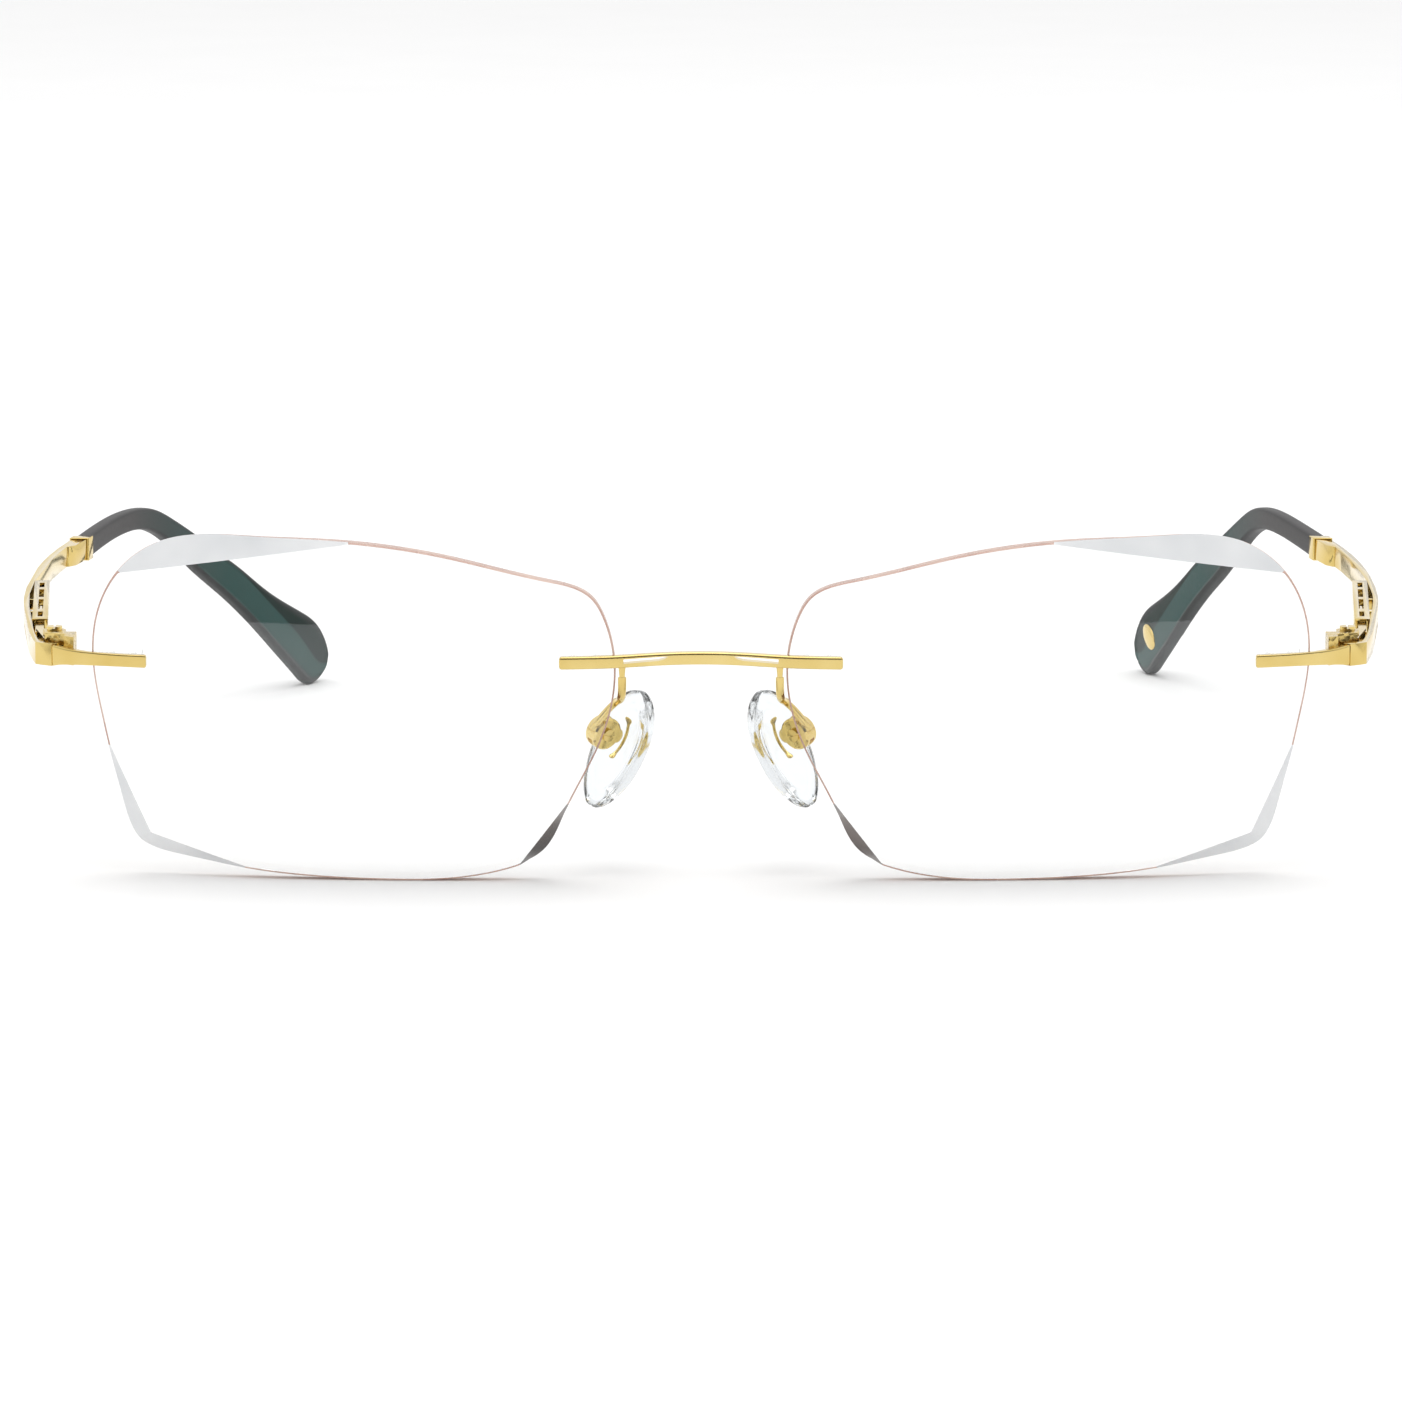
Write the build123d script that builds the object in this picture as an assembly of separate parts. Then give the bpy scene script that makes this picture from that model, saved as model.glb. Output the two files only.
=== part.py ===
from build123d import *
import os
from math import cos, radians, sin

# Rimless spectacles with spring temples, standing open on the lens bottoms and the temple tips.
# Millimetres. +X is to the right of someone facing the front, +Y runs back along the temples, +Z is up.
# While modelling, Y = 0 touches the front of the lenses; CENTRE_Y then moves the middle to Y = 0.
# Everything is drawn on the +X side and mirrored, apart from the tips, which are bent differently.

# ---- driving sizes -------------------------------------------------------------------------------
CENTRE_Y = 70.33             # from the lens fronts to the middle of the whole length
LENS_RADIUS = 125.0          # front curve of a lens
LENS_THICKNESS = 1.8
LENS_CENTRE_X = 37.1
LENS_CENTRE_Z = 18.5
WRAP = 4.0                   # degrees each lens turns back at the temple
EDGE_BEVEL = 0.2
FIT = 0.02                   # gap between pressed or seated faces

PIN_RADIUS = 0.4
SLEEVE_RADIUS = 0.7
NASAL_PINS = (11.2, 13.7)    # X of the two pins of the bridge end
TEMPORAL_PINS = (61.0, 63.4)
BRIDGE_PIN_Z = 23.9
TEMPLE_Z = 23.6              # middle height of end pieces and temples
TEMPLE_HEIGHT = 2.4

HINGE_X = 70.2
HINGE_Y = 12.4
KNUCKLE_RADIUS = 1.25
LEAF_BOTTOM = 22.5
LEAF_TOP = 25.6
KNUCKLE_BOTTOM = 23.35       # the slider's knuckle, between the two plates of the leaf
KNUCKLE_TOP = 24.75
WASHER = 0.12
HINGE_SCREW_RADIUS = 0.45
SCREW_HEAD_RADIUS = 0.85
SCREW_HEAD_HEIGHT = 0.4

HOUSING_FRONT = (72.9, 25.0)     # middle of the spring housing's front end, X and Y
HOUSING_REAR = (75.1, 53.5)
HOUSING_WIDTH = 1.7
SPRING_RADIUS = 0.47

PAD_SCREW = Vector(10.6, 6.4, 15.4)     # where the pad screw crosses the pad box
PAD_TILT = 24.0              # degrees the pad leans in towards the bridge at its top
PAD_TURN = 35.0              # degrees its face turns back from square across
PAD_LENGTH = 13.8
PAD_WIDTH = 7.6
PAD_THICKNESS = 2.5

METAL_END_Y = 88.0
# Per side: plan angle of the tip, its length past the bend, as the wearer's hands left them.
TIP_LEFT = {"toe_in": 32.0, "bend": (68.0, 101.5), "reach": 38.8}
TIP_RIGHT = {"toe_in": 17.5, "bend": (68.4, 101.5), "reach": 42.6}


# ---- helpers -------------------------------------------------------------------------------------
def closed_face(*edges):
    """A flat face bounded by the edges."""
    return make_face(list(edges))


def plan_prism(points, low, high):
    """A straight-sided block over the plan outline, between two heights."""
    face = make_face(Polyline(*points, close=True))
    return extrude(Pos(0, 0, low) * face, high - low)


def plan_strip(outer, inner, low, high):
    """A wall between two smooth plan curves that run the same way, between two heights."""
    edges = [
        Spline(*outer),
        Line(outer[-1], inner[-1]),
        Spline(*inner),
        Line(inner[0], outer[0]),
    ]
    return extrude(Pos(0, 0, low) * closed_face(*edges), high - low)


def front_prism(face_xz, front, back):
    """A block whose outline is seen from the front, between two depths."""
    return extrude(Plane.XZ * face_xz, -(back - front)).translate((0, front, 0))


def vertical_rod(x, y, radius, low, high):
    return Pos(x, y, (low + high) / 2) * Cylinder(radius, high - low)


def depth_rod(x, z, radius, front, back):
    return Pos(x, (front + back) / 2, z) * Rot(90, 0, 0) * Cylinder(radius, back - front)


def lens_sphere(offset=0.0):
    """The ball whose front is the lens front, shrunk by the offset."""
    x = LENS_CENTRE_X - LENS_RADIUS * sin(radians(WRAP))
    y = LENS_RADIUS * cos(radians(WRAP))
    return Pos(x, y, LENS_CENTRE_Z) * Sphere(LENS_RADIUS - offset)


def lens_front_y(x, z, offset=0.0):
    """Depth of the lens front at a point seen from the front."""
    cx = LENS_CENTRE_X - LENS_RADIUS * sin(radians(WRAP))
    cy = LENS_RADIUS * cos(radians(WRAP))
    r = LENS_RADIUS - offset
    return cy - (r * r - (x - cx) ** 2 - (z - LENS_CENTRE_Z) ** 2) ** 0.5


# ---- lenses --------------------------------------------------------------------------------------
LENS_OUTLINE = [             # X and Z, round the lens from the top of its nose side
    (10.2, 28.3), (11.6, 30.7), (16.5, 32.65), (27.3, 35.25), (38.7, 36.8), (48.0, 37.05),
    (58.7, 36.0), (63.2, 32.5), (65.3, 27.7), (65.5, 22.5), (64.6, 17.4), (63.6, 12.8),
    (62.5, 8.2), (60.7, 3.8), (55.7, 2.1), (47.1, 0.8), (34.1, 0.05), (20.7, 1.28),
    (17.0, 3.1), (14.6, 7.45), (10.9, 14.85), (9.15, 22.4),
]
# Flat polished facets: two points of the inner line on the front face, X and Z, and the slope in
# degrees at which the cut falls away towards the rim.
FACETS = [
    ((62.5, 32.9), (34.5, 37.0), 36.0),
    ((63.9, 14.6), (59.4, 4.7), 46.0),
    ((59.4, 4.7), (47.5, 0.75), 46.0),
    ((12.9, 10.4), (19.9, 1.3), 68.0),
]


def facet_cutter(start, end, slope):
    """A block whose underside is the plane of one facet."""
    a = Vector(start[0], lens_front_y(*start), start[1])
    b = Vector(end[0], lens_front_y(*end), end[1])
    along = (b - a).normalized()
    middle = (a + b) * 0.5
    outward = Vector(middle.X - LENS_CENTRE_X, 0, middle.Z - LENS_CENTRE_Z)
    outward = (outward - along * outward.dot(along)).normalized()
    forward = Vector(0, -1, 0)
    normal = forward * cos(radians(slope)) + outward * sin(radians(slope))
    normal = normal - along * normal.dot(along)
    plane = Plane(origin=middle, x_dir=along, z_dir=normal)
    return plane * Box(60, 60, 12, align=(Align.CENTER, Align.CENTER, Align.MIN))


def lens():
    outline = Spline(*LENS_OUTLINE, periodic=True)
    blank = front_prism(closed_face(outline), -5, 15)
    body = blank & lens_sphere()
    body = body - lens_sphere(LENS_THICKNESS)
    body = chamfer(body.edges().sort_by(SortBy.LENGTH)[-2:], EDGE_BEVEL)
    for start, end, slope in FACETS:
        body -= facet_cutter(start, end, slope)
    for x in NASAL_PINS:
        body -= depth_rod(x, BRIDGE_PIN_Z, SLEEVE_RADIUS + FIT, -5, 15)
    for x in TEMPORAL_PINS:
        body -= depth_rod(x, TEMPLE_Z, SLEEVE_RADIUS + FIT, -5, 15)
    return body


def bushing(pins, z):
    """Clear double sleeve: two tubes in the lens joined by a plate behind it."""
    middle = sum(pins) / 2
    back = lens_front_y(middle, z, LENS_THICKNESS) + 1.3
    plate = Pos(middle, back - 1.4, z) * Box(pins[1] - pins[0] + 1.9, 2.8, 1.5)
    plate &= lens_sphere(LENS_THICKNESS + FIT)
    body = plate
    for x in pins:
        body += depth_rod(x, z, SLEEVE_RADIUS, lens_front_y(x, z) + 0.15, back - 0.2)
    for x in pins:
        body -= depth_rod(x, z, PIN_RADIUS + FIT, -5, 15)
    return body


# ---- bridge --------------------------------------------------------------------------------------
BRIDGE_TOP = [
    (-15.2, 24.6), (-9.0, 24.72), (-4.5, 25.1), (0, 25.3), (4.5, 25.1), (9.0, 24.72), (15.2, 24.6),
]
BRIDGE_HEIGHT = 1.35
BRIDGE_FRONT = [(-15.2, -0.55), (-9.0, -0.35), (0, -1.5), (9.0, -0.35), (15.2, -0.55)]
BRIDGE_DEPTH = 1.35
SLOT_TOP = [(3.5, 24.86), (8.3, 24.3)]
SLOT_BOTTOM = [(4.4, 24.38), (8.3, 23.9)]
LUG_X = 8.45
LUG_BOTTOM = 22.3


def bridge():
    bottom = [(x, z - BRIDGE_HEIGHT) for x, z in BRIDGE_TOP]
    edges = [
        Spline(*BRIDGE_TOP),
        Line(BRIDGE_TOP[-1], bottom[-1]),
        Spline(*bottom),
        Line(bottom[0], BRIDGE_TOP[0]),
    ]
    arch = front_prism(closed_face(*edges), -5, 6)
    back = [(x, y + BRIDGE_DEPTH) for x, y in BRIDGE_FRONT]
    ends_back = [(-15.2, 2.5), (-9.5, 2.5)] + back[1:-1] + [(9.5, 2.5), (15.2, 2.5)]
    plan = [
        Spline(*BRIDGE_FRONT),
        Line(BRIDGE_FRONT[-1], ends_back[-1]),
        Line(ends_back[-1], ends_back[-2]),
        Line(ends_back[-2], back[-2]),
        Spline(*back[1:-1]),
        Line(back[1], ends_back[1]),
        Line(ends_back[1], ends_back[0]),
        Line(ends_back[0], BRIDGE_FRONT[0]),
    ]
    body = arch & extrude(Pos(0, 0, 15) * closed_face(*plan), 15)
    body = body - lens_sphere(-FIT) - mirror(lens_sphere(-FIT), Plane.YZ)
    slot = front_prism(make_face(Polyline(*SLOT_TOP, *SLOT_BOTTOM[::-1], close=True)), -5, 5)
    body = body - slot - mirror(slot, Plane.YZ)
    ends = body.edges().filter_by(Axis.Z).group_by(Axis.X)
    body = fillet([ends[0][0], ends[-1][0]], 0.3)
    for x in NASAL_PINS:
        pin = depth_rod(x, BRIDGE_PIN_Z, PIN_RADIUS, 0.2, lens_front_y(x, BRIDGE_PIN_Z) + 2.7)
        body = body + pin + mirror(pin, Plane.YZ)
    lug = Pos(LUG_X, 0.45, LUG_BOTTOM) * Box(0.8, 0.8, 1.4, align=(Align.CENTER, Align.CENTER, Align.MIN))
    return body + lug + mirror(lug, Plane.YZ)


# ---- nose pads -----------------------------------------------------------------------------------
def pad_plane():
    """The pad's own frame at its screw: X across the pad along the screw, Y up its length,
    Z out through the face that meets the nose."""
    up = Vector(-sin(radians(PAD_TILT)), 0, cos(radians(PAD_TILT)))
    face = Vector(-cos(radians(PAD_TURN)), sin(radians(PAD_TURN)), 0)
    face = (face - up * face.dot(up)).normalized()
    return Plane(origin=PAD_SCREW, x_dir=up.cross(face), z_dir=face)


BOX_RADIUS = 1.8
BOX_HALF = 0.95
TAB_HALF = 0.36
PAD_BACK = 2.15              # from the screw to the back of the pad
PAD_DROP = 1.4               # the pad's middle below the screw


def across_rod(radius, low, high):
    """A rod along the pad frame's own X, between two places on it."""
    return Pos((low + high) / 2, 0, 0) * Rot(0, 90, 0) * Cylinder(radius, high - low)


def pad_arm():
    """Bent wire from the bridge lug to the round box that holds the pad."""
    frame = pad_plane()
    box = across_rod(BOX_RADIUS, -BOX_HALF, BOX_HALF)
    box = chamfer(box.edges(), 0.2)
    box -= Pos(0, 0, 3.0) * Box(2 * TAB_HALF + 0.12, 8, 8.9)
    box -= across_rod(0.36, -2, 2)
    start = (LUG_X, 0.5, LUG_BOTTOM)
    end = frame.from_local_coords(Vector(0, 0.2, -1.5))
    path = Spline(start, (9.4, 4.3, 18.8), end, tangents=((0, 0, -1), (0.35, 0.4, -0.6)))
    wire = sweep(Plane(origin=start, z_dir=path % 0) * Circle(0.45), path)
    return wire + frame * box


def pad_screw():
    frame = pad_plane()
    shank = across_rod(0.35, -BOX_HALF, BOX_HALF)
    head = across_rod(0.7, BOX_HALF, BOX_HALF + 0.35)
    head -= Pos(BOX_HALF + 0.35, 0, 0) * Box(0.3, 0.2, 2)
    return frame * (shank + head)


CORE_LENGTH = 5.4
CORE_WIDTH = 2.0
CORE_DROP = 0.3              # the core's middle below the screw
CORE_MIDDLE = 3.1            # depth of the core plate in front of the screw
CORE_THICKNESS = 0.4


def core_plate(grow=0.0):
    plate = Pos(0, -CORE_DROP, CORE_MIDDLE - CORE_THICKNESS / 2 - grow)
    ellipse = Ellipse(CORE_WIDTH / 2 + grow, CORE_LENGTH / 2 + grow)
    return plate * extrude(ellipse, CORE_THICKNESS + 2 * grow)


def core_tab(grow=0.0):
    """The tab between the core plate and the screw."""
    tab = across_rod(1.2 + grow, -TAB_HALF - grow, TAB_HALF + grow)
    neck = Pos(0, 0, CORE_MIDDLE / 2) * Box(2 * (TAB_HALF + grow), 1.7 + 2 * grow, CORE_MIDDLE)
    return tab + neck


def pad_core():
    return pad_plane() * (core_plate() + core_tab() - across_rod(0.4, -2, 2))


def nose_pad():
    """Clear silicone drop with a domed face, moulded round the metal core."""
    half_width, half_length = PAD_WIDTH / 2, PAD_LENGTH / 2
    outline = Spline(
        (0, half_length),
        (0.78 * half_width, 0.68 * half_length),
        (half_width, 0.12 * half_length),
        (0.72 * half_width, -0.62 * half_length),
        (0, -half_length),
        (-0.72 * half_width, -0.62 * half_length),
        (-half_width, 0.12 * half_length),
        (-0.78 * half_width, 0.68 * half_length),
        periodic=True,
    )
    drop = extrude(Pos(0, -PAD_DROP, PAD_BACK) * closed_face(outline), PAD_THICKNESS)
    dome = Pos(0, -PAD_DROP, PAD_BACK + PAD_THICKNESS - 20) * Sphere(20)
    body = fillet((drop & dome).edges(), 0.5)
    return pad_plane() * (body - core_plate(FIT) - core_tab(FIT))


# ---- end piece and hinge -------------------------------------------------------------------------
END_FRONT = [(59.6, 2.7), (62.5, 3.5), (65.5, 4.6), (68.0, 5.85), (70.1, 7.3)]
END_BACK = [(59.6, 5.5), (65.9, 5.5), (66.6, 6.2), (69.3, 8.1)]
END_TOP = [(59.6, 24.28), (65.5, 24.32), (68.5, 24.5), (70.6, 24.8)]


def end_piece():
    """Bar that is pinned to the lens and sweeps back to the hinge."""
    plan = [
        Spline(*END_FRONT),
        Line(END_FRONT[-1], END_BACK[-1]),
        Polyline(*END_BACK),
        Line(END_BACK[0], END_FRONT[0]),
    ]
    low = [(x, 2 * TEMPLE_Z - z) for x, z in END_TOP]
    front = [Spline(*END_TOP), Line(END_TOP[-1], low[-1]), Spline(*low), Line(low[0], END_TOP[0])]
    body = extrude(Pos(0, 0, 15) * closed_face(*plan), 15) & front_prism(closed_face(*front), -5, 15)
    body -= lens_sphere(-FIT)
    for x in TEMPORAL_PINS:
        face = lens_front_y(x, TEMPLE_Z)
        body += depth_rod(x, TEMPLE_Z, PIN_RADIUS, face - 0.6, face + 2.9)
    return body


def hinge_leaf():
    """Block brazed behind the end piece, with two plates round the screw."""
    shank = [(67.7, 6.99), (68.85, 7.8), (68.85, 9.35), (71.1, 10.3), (71.1, 11.1), (67.7, 11.1)]
    block = plan_prism(shank, LEAF_BOTTOM, LEAF_TOP)
    knuckle = vertical_rod(HINGE_X, HINGE_Y, KNUCKLE_RADIUS, LEAF_BOTTOM, LEAF_TOP)
    web = [(68.95, 10.9), (71.1, 10.9), (71.4, HINGE_Y), (68.95, HINGE_Y)]
    web = plan_prism(web, LEAF_BOTTOM, LEAF_TOP)
    body = block + knuckle + web
    gap_low = KNUCKLE_BOTTOM - WASHER - FIT
    gap_high = KNUCKLE_TOP + WASHER + FIT
    body -= vertical_rod(HINGE_X, HINGE_Y, KNUCKLE_RADIUS + 0.25, gap_low, gap_high)
    body -= vertical_rod(HINGE_X, HINGE_Y, HINGE_SCREW_RADIUS + FIT, LEAF_BOTTOM - 1, LEAF_TOP + 1)
    return body


def hinge_screw():
    shank = vertical_rod(HINGE_X, HINGE_Y, HINGE_SCREW_RADIUS, LEAF_BOTTOM, LEAF_TOP)
    top = LEAF_TOP + SCREW_HEAD_HEIGHT
    head = vertical_rod(HINGE_X, HINGE_Y, SCREW_HEAD_RADIUS, LEAF_TOP, top)
    head -= Pos(HINGE_X, HINGE_Y, top) * Box(0.25, 3, SCREW_HEAD_HEIGHT)
    return shank + head


def hinge_washer(low):
    disc = vertical_rod(HINGE_X, HINGE_Y, 1.15, low, low + WASHER)
    return disc - vertical_rod(HINGE_X, HINGE_Y, HINGE_SCREW_RADIUS + 0.03, low - 1, low + 1)


# ---- spring slider and housing -------------------------------------------------------------------
def housing_plane():
    """The housing's own frame: X across it, Y back along it, at its front end."""
    along = Vector(HOUSING_REAR[0] - HOUSING_FRONT[0], HOUSING_REAR[1] - HOUSING_FRONT[1], 0).normalized()
    return Plane(origin=(*HOUSING_FRONT, TEMPLE_Z), x_dir=(along.Y, -along.X, 0), z_dir=(0, 0, 1))


HOUSING_LENGTH = 28.58
MOUTH_DEPTH = 5.0
TONGUE = (0.9, 1.3)          # width and height of the slider's tongue
ROD_RADIUS = 0.25
ROD_END = 22.0
STROKE_ROOM = 1.15           # free length in front of the spring
CHAMBER_END = 27.0
CHAMBER_RADIUS = 0.52
NUT_LENGTH = 1.2
SLOT_WIDTH = 0.55
SLOTS = [(1.9, 5.4), (7.4, 14.4), (16.0, 21.8), (23.4, 26.8)]
TONGUE_FRONT = -7.0
TONGUE_REAR = 3.6


def slider():
    """Knuckle on the hinge screw, tongue in the housing's mouth, and the rod through the spring."""
    frame = housing_plane()
    knuckle = vertical_rod(HINGE_X, HINGE_Y, KNUCKLE_RADIUS, KNUCKLE_BOTTOM, KNUCKLE_TOP)
    low, high = KNUCKLE_BOTTOM, KNUCKLE_TOP
    neck = plan_prism([(69.4, 13.3), (70.9, 12.0), (71.45, 12.6), (72.75, 18.5), (71.8, 18.5)], low, high)
    neck += plan_prism([(69.4, 13.3), (71.2, 13.0), (72.4, 18.5), (71.8, 18.5)], low, high)
    tongue_z = ((low + high) / 2 - TEMPLE_Z) / 2
    tongue = Box(TONGUE[0], TONGUE_REAR - TONGUE_FRONT, TONGUE[1] - 0.1)
    tongue = Pos(0, (TONGUE_FRONT + TONGUE_REAR) / 2, tongue_z) * tongue
    rod_start = TONGUE_REAR - 0.2
    rod = Rot(90, 0, 0) * Cylinder(ROD_RADIUS, ROD_END - rod_start)
    rod = Pos(0, (rod_start + ROD_END) / 2, 0) * rod
    body = knuckle + neck + frame * (tongue + rod)
    return body - vertical_rod(HINGE_X, HINGE_Y, HINGE_SCREW_RADIUS + 0.03, low - 1, high + 1)


def slider_nut():
    middle = ROD_END - NUT_LENGTH / 2
    nut = Pos(0, middle, 0) * Rot(90, 0, 0) * Cylinder(SPRING_RADIUS, NUT_LENGTH)
    nut -= Pos(0, middle, 0) * Rot(90, 0, 0) * Cylinder(ROD_RADIUS, NUT_LENGTH + 1)
    return housing_plane() * nut


def flex_spring():
    """The coil spring as its envelope, a tube, at its compressed length."""
    front = MOUTH_DEPTH + 0.8 + STROKE_ROOM
    back = ROD_END - NUT_LENGTH - FIT
    tube = Pos(0, (front + back) / 2, 0) * Rot(90, 0, 0) * Cylinder(SPRING_RADIUS, back - front)
    tube -= Pos(0, (front + back) / 2, 0) * Rot(90, 0, 0) * Cylinder(ROD_RADIUS + 0.05, back - front + 2)
    return housing_plane() * tube


def spring_housing():
    """Slotted rail on the inside of the temple that holds the spring."""
    rail = Pos(0, HOUSING_LENGTH / 2, 0) * Box(HOUSING_WIDTH, HOUSING_LENGTH, TEMPLE_HEIGHT)
    mouth = Pos(0, MOUTH_DEPTH / 2 - 1, 0.1) * Box(TONGUE[0] + 0.1, MOUTH_DEPTH + 2, TONGUE[1] + 0.3)
    chamber_front = MOUTH_DEPTH + 0.8
    chamber = Rot(90, 0, 0) * Cylinder(CHAMBER_RADIUS, CHAMBER_END - chamber_front)
    chamber = Pos(0, (chamber_front + CHAMBER_END) / 2, 0) * chamber
    bore = Pos(0, 6, 0) * Rot(90, 0, 0) * Cylinder(ROD_RADIUS + 0.05, 12)
    body = rail - mouth - chamber - bore
    for start, end in SLOTS:
        body -= Pos(0, (start + end) / 2, 1.0) * Box(SLOT_WIDTH, end - start, 2.0)
    return housing_plane() * body


# ---- temple --------------------------------------------------------------------------------------
BAND_OUTER = [
    (72.0, 8.75), (72.75, 12.5), (74.4, 25.0), (75.9, 38.5), (76.55, 52.0), (76.55, 62.0), (76.1, 72.0),
    (75.2, 81.0), (74.1, METAL_END_Y),
]
BAND_THICKNESS = [0.62, 0.58, 0.62, 0.6, 0.66, 0.85, 0.85, 0.85, 0.85]
CORNER = [
    (70.14, 7.34), (71.2, 8.05), (72.0, 8.75), (72.3, 10.2), (71.72, 10.2), (71.55, 9.3), (69.42, 8.06),
]
BOSS = [(75.3, 80.0), (74.25, METAL_END_Y), (72.3, METAL_END_Y), (73.55, 81.2), (74.3, 80.0)]
POSTS = ((74.85, 34.5), (75.35, 43.5))    # X and Y of the two posts between band and housing


def band_inner():
    return [(x - t, y) for (x, y), t in zip(BAND_OUTER, BAND_THICKNESS)]


def spring_housing_block():
    """The room that the housing takes, for trimming what touches it."""
    width = HOUSING_WIDTH + 2 * FIT
    return housing_plane() * (Pos(-5, HOUSING_LENGTH / 2, 0) * Box(width + 10, HOUSING_LENGTH + 0.1, 6))


def temple():
    """Springy outer band with the corner block in front and the boss for the tip behind."""
    low = TEMPLE_Z - TEMPLE_HEIGHT / 2
    high = TEMPLE_Z + TEMPLE_HEIGHT / 2
    inner = band_inner()
    body = plan_strip(BAND_OUTER, inner, low, high)
    body += plan_prism(CORNER, low, high)
    body += plan_prism(BOSS, low, high)
    for x, y in POSTS:
        body += Pos(x, y, TEMPLE_Z) * Box(0.9, 0.8, 1.2)
    return body - spring_housing_block()


def ferrule():
    """Raised collar over the end of the metal, where the tip begins."""
    collar = [(74.72, 86.0), (74.42, METAL_END_Y), (72.08, METAL_END_Y), (72.42, 86.0)]
    half = TEMPLE_HEIGHT / 2 + 0.15
    return plan_prism(collar, TEMPLE_Z - half, TEMPLE_Z + half) - temple()


# ---- tips ----------------------------------------------------------------------------------------
TIP_START = (73.25, METAL_END_Y)
TIP_THICKNESS = 2.1
WIRE_THICKNESS = 0.75
WIRE_HEIGHT = 1.1
WIRE_START_Y = 84.05
WIRE_REACH = 0.7
# Heights of the tip's upper and lower edge. Before the bend the first value is Y; past it, it is the
# share of the reach.
TIP_TOP_FRONT = [(METAL_END_Y, 24.95), (94.0, 25.8), (100.0, 26.35)]
TIP_TOP = [(0.08, 25.9), (0.17, 24.4), (0.36, 20.4), (0.5, 17.3), (0.69, 12.75), (0.86, 9.5), (0.955, 7.3)]
TIP_END = [(1.0, 4.2), (0.985, 1.6), (0.92, 0.0)]
TIP_LOW = [
    (0.86, 1.25), (0.75, 4.7), (0.64, 8.2), (0.47, 13.0), (0.27, 18.1), (0.175, 20.9), (0.045, 23.45),
]
TIP_LOW_FRONT = [(98.0, 23.75), (93.0, 23.15), (METAL_END_Y, 22.3)]
WIRE_MIDDLE_FRONT = [(WIRE_START_Y, TEMPLE_Z), (METAL_END_Y, TEMPLE_Z), (94.0, 24.45), (100.0, 24.95)]
WIRE_MIDDLE = [(0.08, 24.6), (0.17, 22.7), (0.36, 18.0), (0.5, 14.7), (WIRE_REACH, 9.5)]
INLAY_SHARE = 0.885          # place of the oval inlay along the reach
INLAY_Z = 5.0


def tip_direction(side):
    return Vector(-sin(radians(side["toe_in"])), cos(radians(side["toe_in"])), 0)


def tip_point(side, share):
    """Plan point on the tip's middle line at a share of its reach past the bend."""
    return Vector(*side["bend"], 0) + tip_direction(side) * (side["reach"] * share)


def tip_plan(side, half, start_y, share):
    """The tip's strip seen from above, half its thickness each side of the middle line."""
    knots = [TIP_START, side["bend"]]
    if start_y < METAL_END_Y:
        knots.insert(0, (TIP_START[0] + 0.14 * (METAL_END_Y - start_y), start_y))
    for step in (0.2, 0.5, 0.8, 1.0):
        point = tip_point(side, step * share)
        knots.append((point.X, point.Y))
    spread = half / cos(radians(side["toe_in"]))
    widths = [half if y <= METAL_END_Y else spread for x, y in knots]
    outer = [(x + width, y) for (x, y), width in zip(knots, widths)]
    inner = [(x - width, y) for (x, y), width in zip(knots, widths)]
    return plan_strip(outer, inner, -5, 35)


def tip_profile(side, front, past):
    """Points of an edge seen from the side, Y and Z, from the front list and the reach list."""
    return front + [(tip_point(side, share).Y, z) for share, z in past]


def side_prism(face_yz):
    """A block whose outline is seen from the side, right across the tip."""
    return extrude(Plane.YZ * face_yz, 100)


def tip_side(side):
    top = tip_profile(side, TIP_TOP_FRONT, TIP_TOP)
    end = tip_profile(side, [], TIP_END)
    low = tip_profile(side, [], TIP_LOW) + TIP_LOW_FRONT
    rim = Spline(*top, *end, *low)
    return side_prism(closed_face(rim, Line(low[-1], top[0])))


def wire_side(side):
    middle = tip_profile(side, WIRE_MIDDLE_FRONT, WIRE_MIDDLE)
    top = [(y, z + WIRE_HEIGHT / 2) for y, z in middle]
    low = [(y, z - WIRE_HEIGHT / 2) for y, z in middle]
    edges = [Spline(*top), Line(top[-1], low[-1]), Spline(*low), Line(low[0], top[0])]
    return side_prism(closed_face(*edges))


def core_wire(side):
    return tip_plan(side, WIRE_THICKNESS / 2, WIRE_START_Y, WIRE_REACH) & wire_side(side)


def inlay(side):
    """Plain oval of metal let into the inner face of one tip."""
    along = tip_direction(side)
    inward = Vector(-along.Y, along.X, 0)
    middle = tip_point(side, INLAY_SHARE) + inward * (TIP_THICKNESS / 2 - 0.3) + Vector(0, 0, INLAY_Z)
    plane = Plane(origin=middle, x_dir=along, z_dir=inward)
    return plane * extrude(Rot(0, 0, 24) * Ellipse(2.1, 1.35), 0.36)


def tip(side):
    body = tip_plan(side, TIP_THICKNESS / 2, METAL_END_Y, 1.03) & tip_side(side)
    return body - core_wire(side)


# ---- assembly ------------------------------------------------------------------------------------
def both(body):
    """A body and its mirror image, as one group of separate solids."""
    return Compound(children=[*body.solids(), *mirror(body, Plane.YZ).solids()])


def pair(name, body):
    """A named body for each side."""
    return {f"{name}_right": body, f"{name}_left": mirror(body, Plane.YZ)}


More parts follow.
